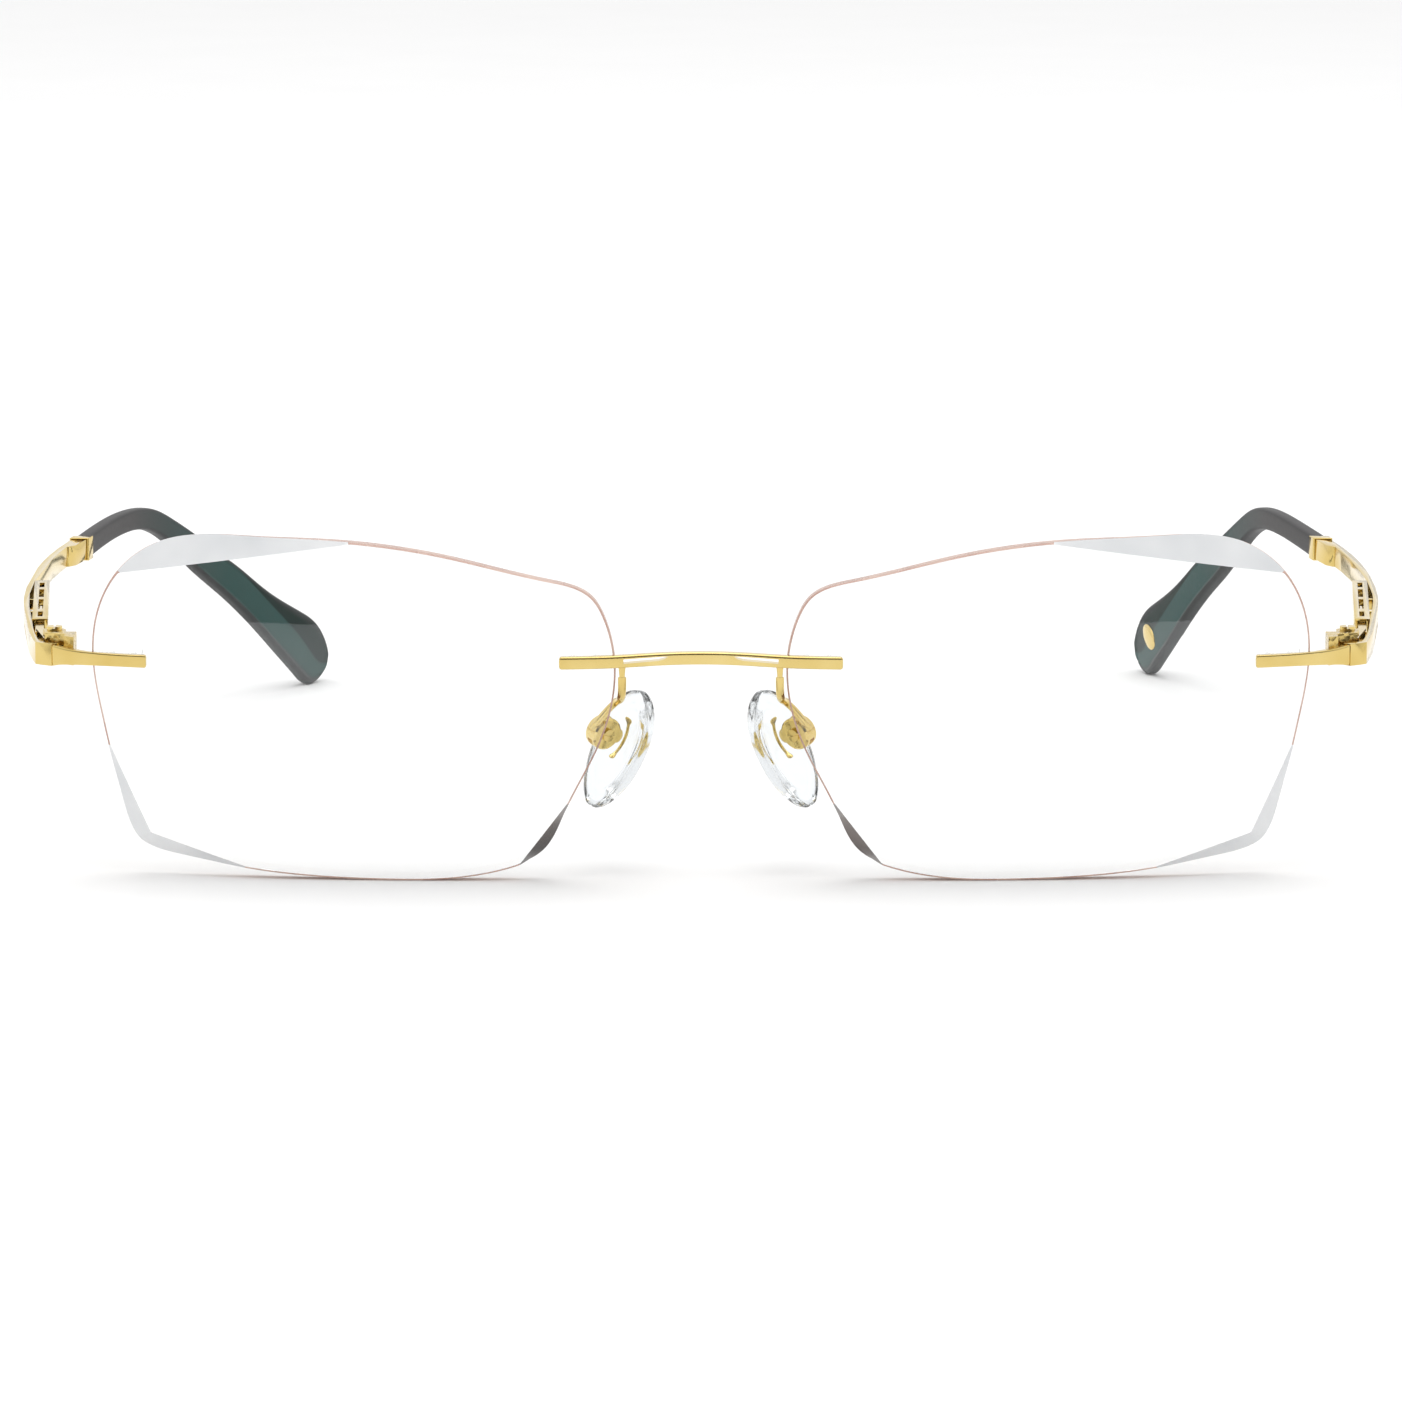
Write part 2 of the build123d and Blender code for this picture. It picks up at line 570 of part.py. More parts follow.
def build():
    nodes = {"bridge": bridge()}
    nodes |= pair("lens", lens())
    nasal = bushing(NASAL_PINS, BRIDGE_PIN_Z)
    temporal = bushing(TEMPORAL_PINS, TEMPLE_Z)
    nodes["lens_bushings"] = both(Compound(children=[*nasal.solids(), *temporal.solids()]))
    nodes |= pair("pad_arm", pad_arm())
    nodes["pad_screws"] = both(pad_screw())
    nodes |= pair("nose_pad", nose_pad())
    nodes |= pair("pad_core", pad_core())
    nodes |= pair("end_piece", end_piece())
    nodes |= pair("hinge_leaf", hinge_leaf())
    nodes["hinge_screws"] = both(hinge_screw())
    washers = [hinge_washer(KNUCKLE_BOTTOM - WASHER), hinge_washer(KNUCKLE_TOP)]
    washers = Compound(children=[solid for washer in washers for solid in washer.solids()])
    nodes |= pair("hinge_washers", washers)
    nodes |= pair("slider", slider())
    nodes |= pair("slider_nut", slider_nut())
    nodes |= pair("flex_spring", flex_spring())
    nodes |= pair("spring_housing", spring_housing())
    for name, side in (("right", TIP_RIGHT), ("left", TIP_LEFT)):
        wire = core_wire(side)
        rear = {"core_wire": wire, "temple": temple() - wire, "ferrule": ferrule() - wire, "tip": tip(side)}
        if name == "right":
            nodes["tip_inlay"] = inlay(side)
            rear["tip"] -= nodes["tip_inlay"]
        for part, body in rear.items():
            nodes[f"{part}_{name}"] = body if name == "right" else mirror(body, Plane.YZ)
    return nodes


os.makedirs("parts", exist_ok=True)
for name, body in build().items():
    export_step(Pos(0, -CENTRE_Y, 0) * body, f"parts/{name}.step")
    print(name, len(body.solids()), round(body.volume, 3))
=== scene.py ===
# %% [markdown]
# Rimless eyeglasses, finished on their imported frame.
# The frame brings every metal part, pin and joint at its real place. This script gives the glasses
# their surfaces: ground and polished lenses, gold plating, silicone pads and two-tone tips.
# Lengths are written in millimetres, as an optician would, and MM turns them into metres.

# %% load the frame
import bmesh
import bpy
import numpy as np
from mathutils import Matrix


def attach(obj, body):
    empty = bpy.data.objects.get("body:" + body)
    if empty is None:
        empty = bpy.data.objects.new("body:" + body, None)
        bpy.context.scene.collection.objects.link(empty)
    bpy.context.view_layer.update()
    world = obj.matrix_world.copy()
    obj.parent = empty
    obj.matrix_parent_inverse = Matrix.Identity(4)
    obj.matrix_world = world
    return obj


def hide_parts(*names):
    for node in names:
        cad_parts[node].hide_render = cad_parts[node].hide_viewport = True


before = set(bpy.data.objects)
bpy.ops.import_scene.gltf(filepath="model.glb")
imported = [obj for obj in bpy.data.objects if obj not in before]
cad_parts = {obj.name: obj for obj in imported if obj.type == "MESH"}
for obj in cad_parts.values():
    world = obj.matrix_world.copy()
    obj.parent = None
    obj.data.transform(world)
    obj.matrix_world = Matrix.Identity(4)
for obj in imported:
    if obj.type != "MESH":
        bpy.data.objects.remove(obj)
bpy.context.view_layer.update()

MM = 0.001
CENTRE_Y = 70.33             # the frame's middle lies this far behind the lens fronts
SIDES = {"left": -1.0, "right": 1.0}


# %% [markdown]
# Every curved outline of a pair of glasses, the lens rim or the side of a tip, is a smooth curve
# through a few places that the maker cares about. A cubic spline does that: between two neighbours
# it is a cubic, and slope and bend run on across each place. The bends are found all at once as one
# set of linear equations. Blender's own curves could do it too, but arrays are easier to reuse.

# %% a smooth curve through points
def smooth_curve(points, count, closed=False):
    """Cubic spline through the points, spaced by chord length. Each span is a cubic in its own
    share s: a mix of the two end points plus the end bends times (s cubed minus s)."""
    p = np.asarray(points, float)
    if closed:
        p = np.vstack([p, p[:1]])
    n = len(p)
    h = np.linalg.norm(np.diff(p, axis=0), axis=1)
    slope = np.diff(p, axis=0) / h[:, None]
    a = np.zeros((n, n))
    b = np.zeros((n, p.shape[1]))
    i = np.arange(1, n - 1)
    a[i, i - 1], a[i, i], a[i, i + 1] = h[:-1], 2 * (h[:-1] + h[1:]), h[1:]
    b[i] = 6 * (slope[1:] - slope[:-1])
    if closed:
        a[0, 0], a[0, 1], a[0, n - 2] = 2 * (h[0] + h[-1]), h[0], h[-1]
        b[0] = 6 * (slope[0] - slope[-1])
        a[-1, 0], a[-1, -1] = 1, -1
    else:
        a[0, 0] = a[-1, -1] = 1
    bend = np.linalg.solve(a, b)
    t = np.concatenate([[0], np.cumsum(h)])
    at = np.linspace(0, t[-1], count, endpoint=not closed)
    k = np.clip(np.searchsorted(t, at, side="right") - 1, 0, n - 2)
    s = ((at - t[k]) / h[k])[:, None]
    step = (h[k] ** 2)[:, None] / 6
    return (p[k] * (1 - s) + p[k + 1] * s
            + step * (bend[k] * ((1 - s) ** 3 - (1 - s)) + bend[k + 1] * (s ** 3 - s)))


# %% [markdown]
# A surface is a grid of points: rows along it, columns round it. Neighbours in the grid share a
# four-sided face. A row that has shrunk to a point, the pole of a dome, is welded to one vertex, so
# that the surface is closed like the real, solid thing.

# %% a grid of points becomes a piece
def grid_piece(name, grid, body, crease=30, marks=None):
    """Object from an array of rows x columns x 3 points in millimetres. Columns always close; a
    first or last row gathered in one point becomes a pole. The volume, a sum of corner . (corner x
    corner) over the faces, is negative when they point inwards, and then they are turned. Marks,
    one triple for each point, are kept as the attribute "place"."""
    rows, cols = grid.shape[:2]
    index = np.arange(rows * cols).reshape(rows, cols)
    for row in (0, -1):
        if np.ptp(grid[row], axis=0).max() < 1e-6:
            index[row] = index[row, 0]
    used, index = np.unique(index, return_inverse=True)
    index = index.reshape(rows, cols)
    right = np.roll(index, -1, axis=1)
    quads = np.stack([index[:-1], right[:-1], right[1:], index[1:]], axis=-1).reshape(-1, 4)
    points = grid.reshape(-1, 3)[used]
    a, b, c, d = (points[quads[:, k]] for k in range(4))
    if (a * (np.cross(b, c) + np.cross(c, d))).sum() < 0:
        quads = quads[:, [1, 0, 3, 2]]
    first, last = quads[:, 0] == quads[:, 1], quads[:, 2] == quads[:, 3]
    faces = quads[~first & ~last].tolist() + quads[first][:, [0, 2, 3]].tolist() + quads[last][:, :3].tolist()
    mesh = bpy.data.meshes.new(name)
    mesh.from_pydata((points * MM).tolist(), [], faces)
    if marks is not None:
        layer = mesh.attributes.new("place", "FLOAT_VECTOR", "POINT")
        layer.data.foreach_set("vector", marks.reshape(-1, 3)[used].ravel())
    mesh.shade_smooth()
    mesh.set_sharp_from_angle(angle=np.radians(crease))
    piece = bpy.data.objects.new(name, mesh)
    bpy.context.scene.collection.objects.link(piece)
    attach(piece, body)
    return piece


# %% [markdown]
# Materials come first, because every piece needs one. A material here is a small node tree whose
# patterns read Object coordinates: all pieces sit at the origin, so these are millimetres on the
# glasses themselves, and the pattern stays put from every side.

# %% helpers for node trees
def new_material(name):
    """A material with its nodes, links, main shader, and the place of each point on the object."""
    material = bpy.data.materials.new(name)
    material.use_nodes = True
    nodes = material.node_tree.nodes
    shader = nodes["Principled BSDF"]
    place = nodes.new("ShaderNodeTexCoord")
    return material, nodes, material.node_tree.links, shader, place.outputs["Object"]


def noise(nodes, links, place, scale, detail=3.0):
    """A soft random pattern, with blobs about one metre divided by the scale across."""
    node = nodes.new("ShaderNodeTexNoise")
    node.inputs["Scale"].default_value = scale
    node.inputs["Detail"].default_value = detail
    links.new(place, node.inputs["Vector"])
    return node.outputs["Fac"]


def ramp(nodes, links, factor, low, high, start=0.0, end=1.0):
    """Factor from start to end becomes a blend from the low colour to the high one."""
    node = nodes.new("ShaderNodeValToRGB")
    node.color_ramp.elements[0].position, node.color_ramp.elements[1].position = start, end
    node.color_ramp.elements[0].color = (*low, 1)
    node.color_ramp.elements[1].color = (*high, 1)
    links.new(factor, node.inputs["Fac"])
    return node.outputs["Color"]


def spread(nodes, links, factor, low, high):
    """Factor 0 to 1 becomes a number from low to high."""
    node = nodes.new("ShaderNodeMapRange")
    node.inputs["To Min"].default_value, node.inputs["To Max"].default_value = low, high
    links.new(factor, node.inputs["Value"])
    return node.outputs["Result"]


def bump(nodes, links, shader, height, distance):
    """Height 0 to 1 tilts the surface as if it stood that share of the distance proud."""
    node = nodes.new("ShaderNodeBump")
    node.inputs["Distance"].default_value = distance
    node.inputs["Strength"].default_value = 1.0
    links.new(height, node.inputs["Height"])
    links.new(node.outputs["Normal"], shader.inputs["Normal"])


# %% [markdown]
# Gold plating on spectacle metal is thin, pale and highly polished. What the eye reads as gold is
# mostly what it mirrors, so the roughness is low; faint handling marks and a slow drift in tone keep
# it from looking painted. A second version, satin and finely pitted, is for the hinge blocks, which
# are cast small and never buffed inside.

# %% gold, bright and pitted
def gold_material(name, pale, deep, smooth, rough, pit_scale=0.0, pit_depth=0.0):
    """Metal whose tone drifts between deep and pale, with fine marks or, given a depth, pits."""
    material, nodes, links, shader, place = new_material(name)
    shader.inputs["Metallic"].default_value = 1.0
    drift = noise(nodes, links, place, 160, 2)
    links.new(ramp(nodes, links, drift, deep, pale, 0.3, 0.75), shader.inputs["Base Color"])
    marks = noise(nodes, links, place, 2600, 4)
    links.new(spread(nodes, links, marks, smooth, rough), shader.inputs["Roughness"])
    if pit_depth:
        cells = nodes.new("ShaderNodeTexVoronoi")
        cells.inputs["Scale"].default_value = pit_scale
        links.new(place, cells.inputs["Vector"])
        bump(nodes, links, shader, cells.outputs["Distance"], pit_depth)
    else:
        bump(nodes, links, shader, marks, 0.000004)
    return material


GOLD = gold_material("polished gold", (0.79, 0.625, 0.26), (0.68, 0.50, 0.16), 0.07, 0.16)
GOLD_PITTED = gold_material(
    "pitted gold", (0.80, 0.63, 0.26), (0.62, 0.44, 0.13), 0.12, 0.28, pit_scale=1500, pit_depth=0.00008,
)
print("gold done")


# %% [markdown]
# Spring steel shows only through the slots of the rail: drawn wire, grey and finely grained. The
# washers of the hinges are pale nylon, a little waxy, which a touch of subsurface light gives.

# %% steel and nylon
def steel_material():
    material, nodes, links, shader, place = new_material("spring steel")
    shader.inputs["Metallic"].default_value = 1.0
    grain = noise(nodes, links, place, 3200, 2)
    tone = ramp(nodes, links, grain, (0.42, 0.40, 0.37), (0.62, 0.60, 0.56))
    links.new(tone, shader.inputs["Base Color"])
    links.new(spread(nodes, links, grain, 0.22, 0.38), shader.inputs["Roughness"])
    bump(nodes, links, shader, grain, 0.000006)
    return material


def nylon_material():
    material, nodes, links, shader, place = new_material("nylon")
    mottle = noise(nodes, links, place, 900, 3)
    tone = ramp(nodes, links, mottle, (0.60, 0.57, 0.50), (0.72, 0.70, 0.64))
    links.new(tone, shader.inputs["Base Color"])
    links.new(spread(nodes, links, mottle, 0.42, 0.55), shader.inputs["Roughness"])
    shader.inputs["Subsurface Weight"].default_value = 0.1
    shader.inputs["Subsurface Scale"].default_value = 0.0005
    bump(nodes, links, shader, mottle, 0.00001)
    return material


STEEL = steel_material()
NYLON = nylon_material()


# %% [markdown]
# The lens is clear and coated against reflections. Its rim is ground, then polished, and is drawn as
# a thin rose line, a painted refraction, while the faces vanish. The facets at the corners are polished
# too, but they are steep enough to hide what is behind them; their colour is a painted reflection of
# one tone of the room: pale at the temples, dark low beside the nose. Each of these is a material of its own.

# %% lens materials
def clear_material(name, tint, index, smooth, rough, scale=700.0, ripple=0.0):
    """Clear solid of a refractive index, with a slow haze in its roughness and, if asked, a ripple."""
    material, nodes, links, shader, place = new_material(name)
    shader.inputs["Base Color"].default_value = (*tint, 1)
    shader.inputs["Transmission Weight"].default_value = 1.0
    shader.inputs["IOR"].default_value = index
    haze = noise(nodes, links, place, scale, 3)
    links.new(spread(nodes, links, haze, smooth, rough), shader.inputs["Roughness"])
    if ripple:
        bump(nodes, links, shader, haze, ripple)
    return material


def rim_material():
    """Half-clear rose on the ground rim, a painted refraction: the colour stands in for what the edge bends
    towards the eye.
    """
    material, nodes, links, shader, place = new_material("ground rim")
    tone = noise(nodes, links, place, 220, 2)
    # painted refraction: this rose tone stands in for the light the ground edge bends towards the eye
    rose = ramp(nodes, links, tone, (0.40, 0.20, 0.15), (0.62, 0.40, 0.31), 0.3, 0.7)
    links.new(rose, shader.inputs["Base Color"])
    shader.inputs["Transmission Weight"].default_value = 0.35
    shader.inputs["IOR"].default_value = 1.5
    links.new(spread(nodes, links, tone, 0.2, 0.35), shader.inputs["Roughness"])
    return material


def facet_material():
    """Painted reflection: pale grey at the temple side and dark brown-grey at the nose side stand in for
    the tones of the room that a steep facet shows, told apart by the distance from the middle of the
    glasses. A slow noise lets each tone drift."""
    material, nodes, links, shader, place = new_material("facet painted reflection")
    parts = nodes.new("ShaderNodeSeparateXYZ")
    links.new(place, parts.inputs["Vector"])
    side = nodes.new("ShaderNodeMath")
    side.operation = "ABSOLUTE"
    links.new(parts.outputs["X"], side.inputs[0])
    drift = noise(nodes, links, place, 120, 2)
    # painted reflection: a pale room tone for the temple side and a dark one for the nose side
    pale = ramp(nodes, links, drift, (0.72, 0.74, 0.76), (0.86, 0.87, 0.88), 0.3, 0.7)
    shade = ramp(nodes, links, drift, (0.035, 0.028, 0.026), (0.14, 0.11, 0.10), 0.35, 0.65)
    where = nodes.new("ShaderNodeMapRange")
    where.inputs["From Min"].default_value, where.inputs["From Max"].default_value = 0.024, 0.030
    links.new(side.outputs["Value"], where.inputs["Value"])
    mix = nodes.new("ShaderNodeMix")
    mix.data_type = "RGBA"
    links.new(where.outputs["Result"], mix.inputs["Factor"])
    links.new(shade, mix.inputs["A"])
    links.new(pale, mix.inputs["B"])
    links.new(mix.outputs["Result"], shader.inputs["Base Color"])
    shader.inputs["Transmission Weight"].default_value = 0.12
    shader.inputs["IOR"].default_value = 1.5
    links.new(spread(nodes, links, drift, 0.08, 0.2), shader.inputs["Roughness"])
    return material


GLASS = clear_material("coated lens", (0.995, 0.998, 0.997), 1.50, 0.0, 0.006)
FACET = facet_material()
RIM = rim_material()
SLEEVE = clear_material("clear sleeve", (0.985, 0.99, 0.99), 1.04, 0.0, 0.05)
SILICONE = clear_material("clear silicone", (0.88, 0.91, 0.93), 1.41, 0.05, 0.14, 900, 0.000006)


# %% [markdown]
# A lens blank is a slice of a ball: front and back are parts of two spheres with the same centre. It
# is edged to the outline, its rim gets a hair's breadth of bevel, and flat facets are ground into
# the corners. Seen from the front, every point lies on a ray from the lens middle. Along a ray the
# front stays on the ball until it meets a facet or the bevel, and from there it runs straight to the
# rim. Putting one row of the grid exactly on that meeting point keeps the facet's edge crisp.

# %% lens shape
LENS_RADIUS, LENS_THICKNESS, WRAP = 125.0, 1.8, np.radians(4.0)
LENS_MIDDLE = np.array([37.1, 18.5])
BALL = np.array([LENS_MIDDLE[0] - LENS_RADIUS * np.sin(WRAP), LENS_RADIUS * np.cos(WRAP), LENS_MIDDLE[1]])
BEVEL = 0.2                  # of the front rim
BACK_BEVEL = 0.12
LEAST_EDGE = 0.35            # of the rim that a facet leaves standing
LENS_OUTLINE = [             # X and Z, round the lens from the top of its nose side
    (10.2, 28.3), (11.6, 30.7), (16.5, 32.65), (27.3, 35.25), (38.7, 36.8), (48.0, 37.05),
    (58.7, 36.0), (63.2, 32.5), (65.3, 27.7), (65.5, 22.5), (64.6, 17.4), (63.6, 12.8),
    (62.5, 8.2), (60.7, 3.8), (55.7, 2.1), (47.1, 0.8), (34.1, 0.05), (20.7, 1.28),
    (17.0, 3.1), (14.6, 7.45), (10.9, 14.85), (9.15, 22.4),
]
FACETS = [                   # two points of the facet's inner line, and its slope in degrees
    ((62.5, 32.9), (34.5, 37.0), 36.0),
    ((63.9, 14.6), (59.4, 4.7), 46.0),
    ((59.4, 4.7), (47.5, 0.75), 46.0),
    ((12.9, 10.4), (19.9, 1.3), 68.0),
]


def ball_y(x, z, inset=0.0):
    """Depth of the ball's front. The ball's radius squared, less the squares of the distances across
    and up from its centre, leaves the square of how far the front stands before that centre."""
    return BALL[1] - np.sqrt((LENS_RADIUS - inset) ** 2 - (x - BALL[0]) ** 2 - (z - BALL[2]) ** 2)


# %% facets
def facet_y(x, z, start, end, slope):
    """Depth of a facet. Its inner edge lies on the ball along the line; from the foot of a point on
    that line the facet falls straight back, the tangent of the slope for each millimetre."""
    start, end = np.array(start), np.array(end)
    along = (end - start) / np.linalg.norm(end - start)
    outward = (start + end) / 2 - LENS_MIDDLE
    outward -= along * (outward @ along)
    outward /= np.linalg.norm(outward)
    run = (x - start[0]) * along[0] + (z - start[1]) * along[1]
    beyond = (x - start[0]) * outward[0] + (z - start[1]) * outward[1]
    foot = ball_y(start[0] + run * along[0], start[1] + run * along[1])
    fall = foot + beyond * np.tan(np.radians(slope))
    return np.where(beyond > 0, fall, -99.0)


# %% rows of a lens
def lens_grid(spokes=900):
    """Rows from the front pole over facet or bevel, wall and back bevel to the back pole. Also says
    for each spoke whether a facet is ground there."""
    outline = smooth_curve(LENS_OUTLINE, 4000, closed=True) - LENS_MIDDLE
    angle = np.unwrap(np.arctan2(outline[:, 1], outline[:, 0]))
    order = np.argsort(np.mod(angle, 2 * np.pi))
    theta = np.linspace(0, 2 * np.pi, spokes, endpoint=False)
    length = np.linalg.norm(outline, axis=1)
    reach = np.interp(theta, np.mod(angle, 2 * np.pi)[order], length[order], period=2 * np.pi)
    ray = np.stack([np.cos(theta), np.sin(theta)])
    trial = np.linspace(0.6, 1, 800)[:, None] * reach
    x, z = LENS_MIDDLE[0] + trial * ray[0], LENS_MIDDLE[1] + trial * ray[1]
    ground = np.max([facet_y(x, z, *facet) for facet in FACETS], axis=0)
    cut = ground > ball_y(x, z)
    first = np.where(cut.any(axis=0), np.argmax(cut, axis=0), len(trial) - 1)
    crease = np.minimum(np.take_along_axis(trial, first[None], 0)[0], reach - BEVEL)
    rim_x, rim_z = LENS_MIDDLE[0] + reach * ray[0], LENS_MIDDLE[1] + reach * ray[1]
    back_y = ball_y(rim_x, rim_z, LENS_THICKNESS)
    front_y = np.clip(ground[-1], ball_y(rim_x, rim_z) + BEVEL, back_y - LEAST_EDGE)
    rows = []
    for share in np.linspace(0, 1, 15):
        px, pz = LENS_MIDDLE[0] + share * crease * ray[0], LENS_MIDDLE[1] + share * crease * ray[1]
        rows.append(np.stack([px, ball_y(px, pz), pz], -1))
    edge = rows[-1]
    rim = np.stack([rim_x, front_y, rim_z], -1)
    for share in (0.5, 1.0):
        rows.append(edge * (1 - share) + rim * share)
    rows.append(np.stack([rim_x, back_y - BACK_BEVEL, rim_z], -1))
    for share in np.linspace(1, 0, 13):
        inner = share * (reach - BACK_BEVEL)
        px, pz = LENS_MIDDLE[0] + inner * ray[0], LENS_MIDDLE[1] + inner * ray[1]
        rows.append(np.stack([px, ball_y(px, pz, LENS_THICKNESS), pz], -1))
    facet = (crease < reach - BEVEL - 0.02)
    return np.array(rows), facet


# %% two lenses
def make_lens(side, sign):
    """The lens of one side. A face deeper than the front but not yet at the back is rim; of those,
    one that is not too steep, on a spoke with a facet, is facet."""
    grid, facet = lens_grid()
    grid = grid - [0, CENTRE_Y, 0]
    grid[..., 0] *= sign
    piece = grid_piece(f"lens_glass_{side}", grid, "front", crease=9)
    for material in (GLASS, FACET, RIM):
        piece.data.materials.append(material)
    middle = np.empty(len(piece.data.polygons) * 3)
    normal = np.empty(len(piece.data.polygons) * 3)
    piece.data.polygons.foreach_get("center", middle)
    piece.data.polygons.foreach_get("normal", normal)
    middle, normal = middle.reshape(-1, 3) / MM, normal.reshape(-1, 3)
    x, y, z = middle[:, 0] * sign, middle[:, 1] + CENTRE_Y, middle[:, 2]
    depth = y - ball_y(x, z)
    slant = np.abs(normal[:, 1])
    theta = np.mod(np.arctan2(z - LENS_MIDDLE[1], x - LENS_MIDDLE[0]), 2 * np.pi)
    on_facet = facet[(theta / (2 * np.pi) * len(facet)).astype(int) % len(facet)]
    kind = np.zeros(len(depth), int)
    below = depth > 0.03
    kind[below & (depth < LENS_THICKNESS - 0.2)] = 2
    kind[below & (slant > 0.35) & on_facet & (normal[:, 1] < 0)] = 1
    piece.data.polygons.foreach_set("material_index", kind)
    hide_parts(f"lens_{side}")
    return piece


for side, sign in SIDES.items():
    glass = make_lens(side, sign)
    print(glass.name, len(glass.data.polygons), "faces")


# %% [markdown]
# The metal parts keep the frame's exact shape, but real metal has no knife edges: tumbling and
# polishing round them, and each rounded edge catches a line of light. Each part is copied, its loose
# triangles are welded and its flat areas cleaned, and a Bevel modifier rounds what is sharper than
# thirty degrees.

# %% rounded metal
def rounded(node, body, material, width, segments=3):
    """Copy of a frame node with its edges rounded by the width, in millimetres."""
    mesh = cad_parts[node].data.copy()
    work = bmesh.new()
    work.from_mesh(mesh)
    bmesh.ops.remove_doubles(work, verts=work.verts, dist=1e-7)
    bmesh.ops.dissolve_limit(work, angle_limit=np.radians(2.0), verts=work.verts, edges=work.edges)
    work.to_mesh(mesh)
    work.free()
    piece = bpy.data.objects.new(f"{node}_rounded", mesh)
    mesh.materials.clear()
    mesh.materials.append(material)
    mesh.shade_smooth()
    bpy.context.scene.collection.objects.link(piece)
    bevel = piece.modifiers.new("rounding", "BEVEL")
    bevel.width, bevel.segments = width * MM, segments
    bevel.limit_method, bevel.angle_limit = "ANGLE", np.radians(30)
    bevel.harden_normals = True
    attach(piece, body)
    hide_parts(node)
    return piece


for side in SIDES:
    rounded(f"temple_{side}", f"temple_body_{side}", GOLD, 0.08)
    rounded(f"spring_housing_{side}", f"temple_body_{side}", GOLD, 0.07)
    rounded(f"ferrule_{side}", f"temple_body_{side}", GOLD, 0.08)
    rounded(f"hinge_leaf_{side}", "front", GOLD_PITTED, 0.06)
print("metal rounded")


# %% [markdown]
# Sliders, pad arms, nuts, wires, washers, screws and the clear sleeves already have their real
# shape in the frame. They stay as they are and only get a better surface.

# %% surfaces for the frame's own parts
PAIRS = {"slider": GOLD, "pad_arm": GOLD, "slider_nut": STEEL, "core_wire": STEEL, "hinge_washers": NYLON}
KEPT = {f"{name}_{side}": material for name, material in PAIRS.items() for side in SIDES}
KEPT |= {"pad_screws": GOLD, "hinge_screws": GOLD, "lens_bushings": SLEEVE}
for node, material in KEPT.items():
    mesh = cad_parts[node].data
    mesh.materials.clear()
    mesh.materials.append(material)
print(len(KEPT), "frame parts given a surface")


# %% [markdown]
# The bridge and the two end pieces are the gold that is seen first, so they are drawn afresh as
# smooth bars. A bar is a rounded oblong carried across the face: its front and back follow one pair
# of curves seen from above, its top and bottom another pair seen from the front. Its back stops at
# the lens where it lies on it. The ends are rounded by shrinking the last few sections.

# %% bars
def bar_grid(x, front, back, low, high, tip=0.3, cols=48, power=0.3):
    """Section at each x: depth = middle + half width times cos raised to a small power, height
    likewise with sin; both halves shrink at the ends as a quarter circle of the tip's length."""
    turn = np.linspace(0, 2 * np.pi, cols, endpoint=False)
    c = np.sign(np.cos(turn)) * np.abs(np.cos(turn)) ** power
    s = np.sign(np.sin(turn)) * np.abs(np.sin(turn)) ** power
    near = np.minimum(x - x[0], x[-1] - x)
    shrink = np.clip(near / tip, 0, 1)
    loss = tip * (1 - np.sqrt(np.clip(1 - (1 - shrink) ** 2, 0, 1)))
    half_y, half_z = (back - front) / 2 - loss, (high - low) / 2 - loss
    y = ((front + back) / 2)[:, None] + half_y[:, None] * c
    z = ((low + high) / 2)[:, None] + half_z[:, None] * s
    body = np.stack([np.broadcast_to(x[:, None], y.shape), y, z], -1)
    ends = [np.broadcast_to(body[k].mean(axis=0), (1, cols, 3)) for k in (0, -1)]
    return np.concatenate([ends[0], body, ends[1]])


def along_curve(points, x):
    """Second value of a smooth curve through the points, read at x."""
    curve = smooth_curve(points, 2000)
    return np.interp(x, curve[:, 0], curve[:, 1])


def eased(low, high, count, tip=0.3):
    """Places from low to high, crowded within the tip's length of both ends."""
    edge = tip * (1 - np.cos(np.linspace(0, np.pi / 2, 8)))[:-1]
    middle = np.linspace(low + tip, high - tip, count)
    return np.concatenate([low + edge, middle, (high - edge)[::-1]])


def pin_grid(x, z, front, back, radius=0.4, rows=10, cols=24):
    """Round pin along Y with domed ends: radius times the root of 1 less share to the tenth."""
    share = np.linspace(-1, 1, 4 * rows)[:, None]
    turn = np.linspace(0, 2 * np.pi, cols, endpoint=False)
    r = radius * np.sqrt(np.clip(1 - share ** 10, 0, 1))
    y = (front + back) / 2 + (back - front) / 2 * share + 0 * turn
    return np.stack([x + r * np.cos(turn), y, z + r * np.sin(turn)], -1)


def gold_piece(name, grid, node, sign=1.0):
    """A gold piece of the front from a grid drawn for the right side, mirrored by the sign."""
    grid = grid - [0, CENTRE_Y, 0]
    grid[..., 0] *= sign
    piece = grid_piece(name, grid, "front", crease=45)
    piece.data.materials.append(GOLD)
    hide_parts(node)
    return piece


# %% bridge bar
BRIDGE_TOP = [(-15.2, 24.6), (-9.0, 24.72), (-4.5, 25.1), (0, 25.3), (4.5, 25.1), (9.0, 24.72), (15.2, 24.6)]
BRIDGE_FRONT = [(-15.2, -0.55), (-9.0, -0.35), (0, -1.5), (9.0, -0.35), (15.2, -0.55)]
BRIDGE_SIZE = 1.35
SLOT = [(3.5, 24.82), (8.3, 24.36), (8.3, 23.88), (4.6, 24.30), (3.9, 24.5)]
END_FRONT = [(59.6, 2.7), (62.5, 3.5), (65.5, 4.6), (68.0, 5.85), (70.1, 7.3)]
END_TOP = [(59.6, 24.28), (65.5, 24.32), (68.5, 24.5), (70.6, 24.8)]
TEMPLE_Z = 23.6
FIT = 0.02

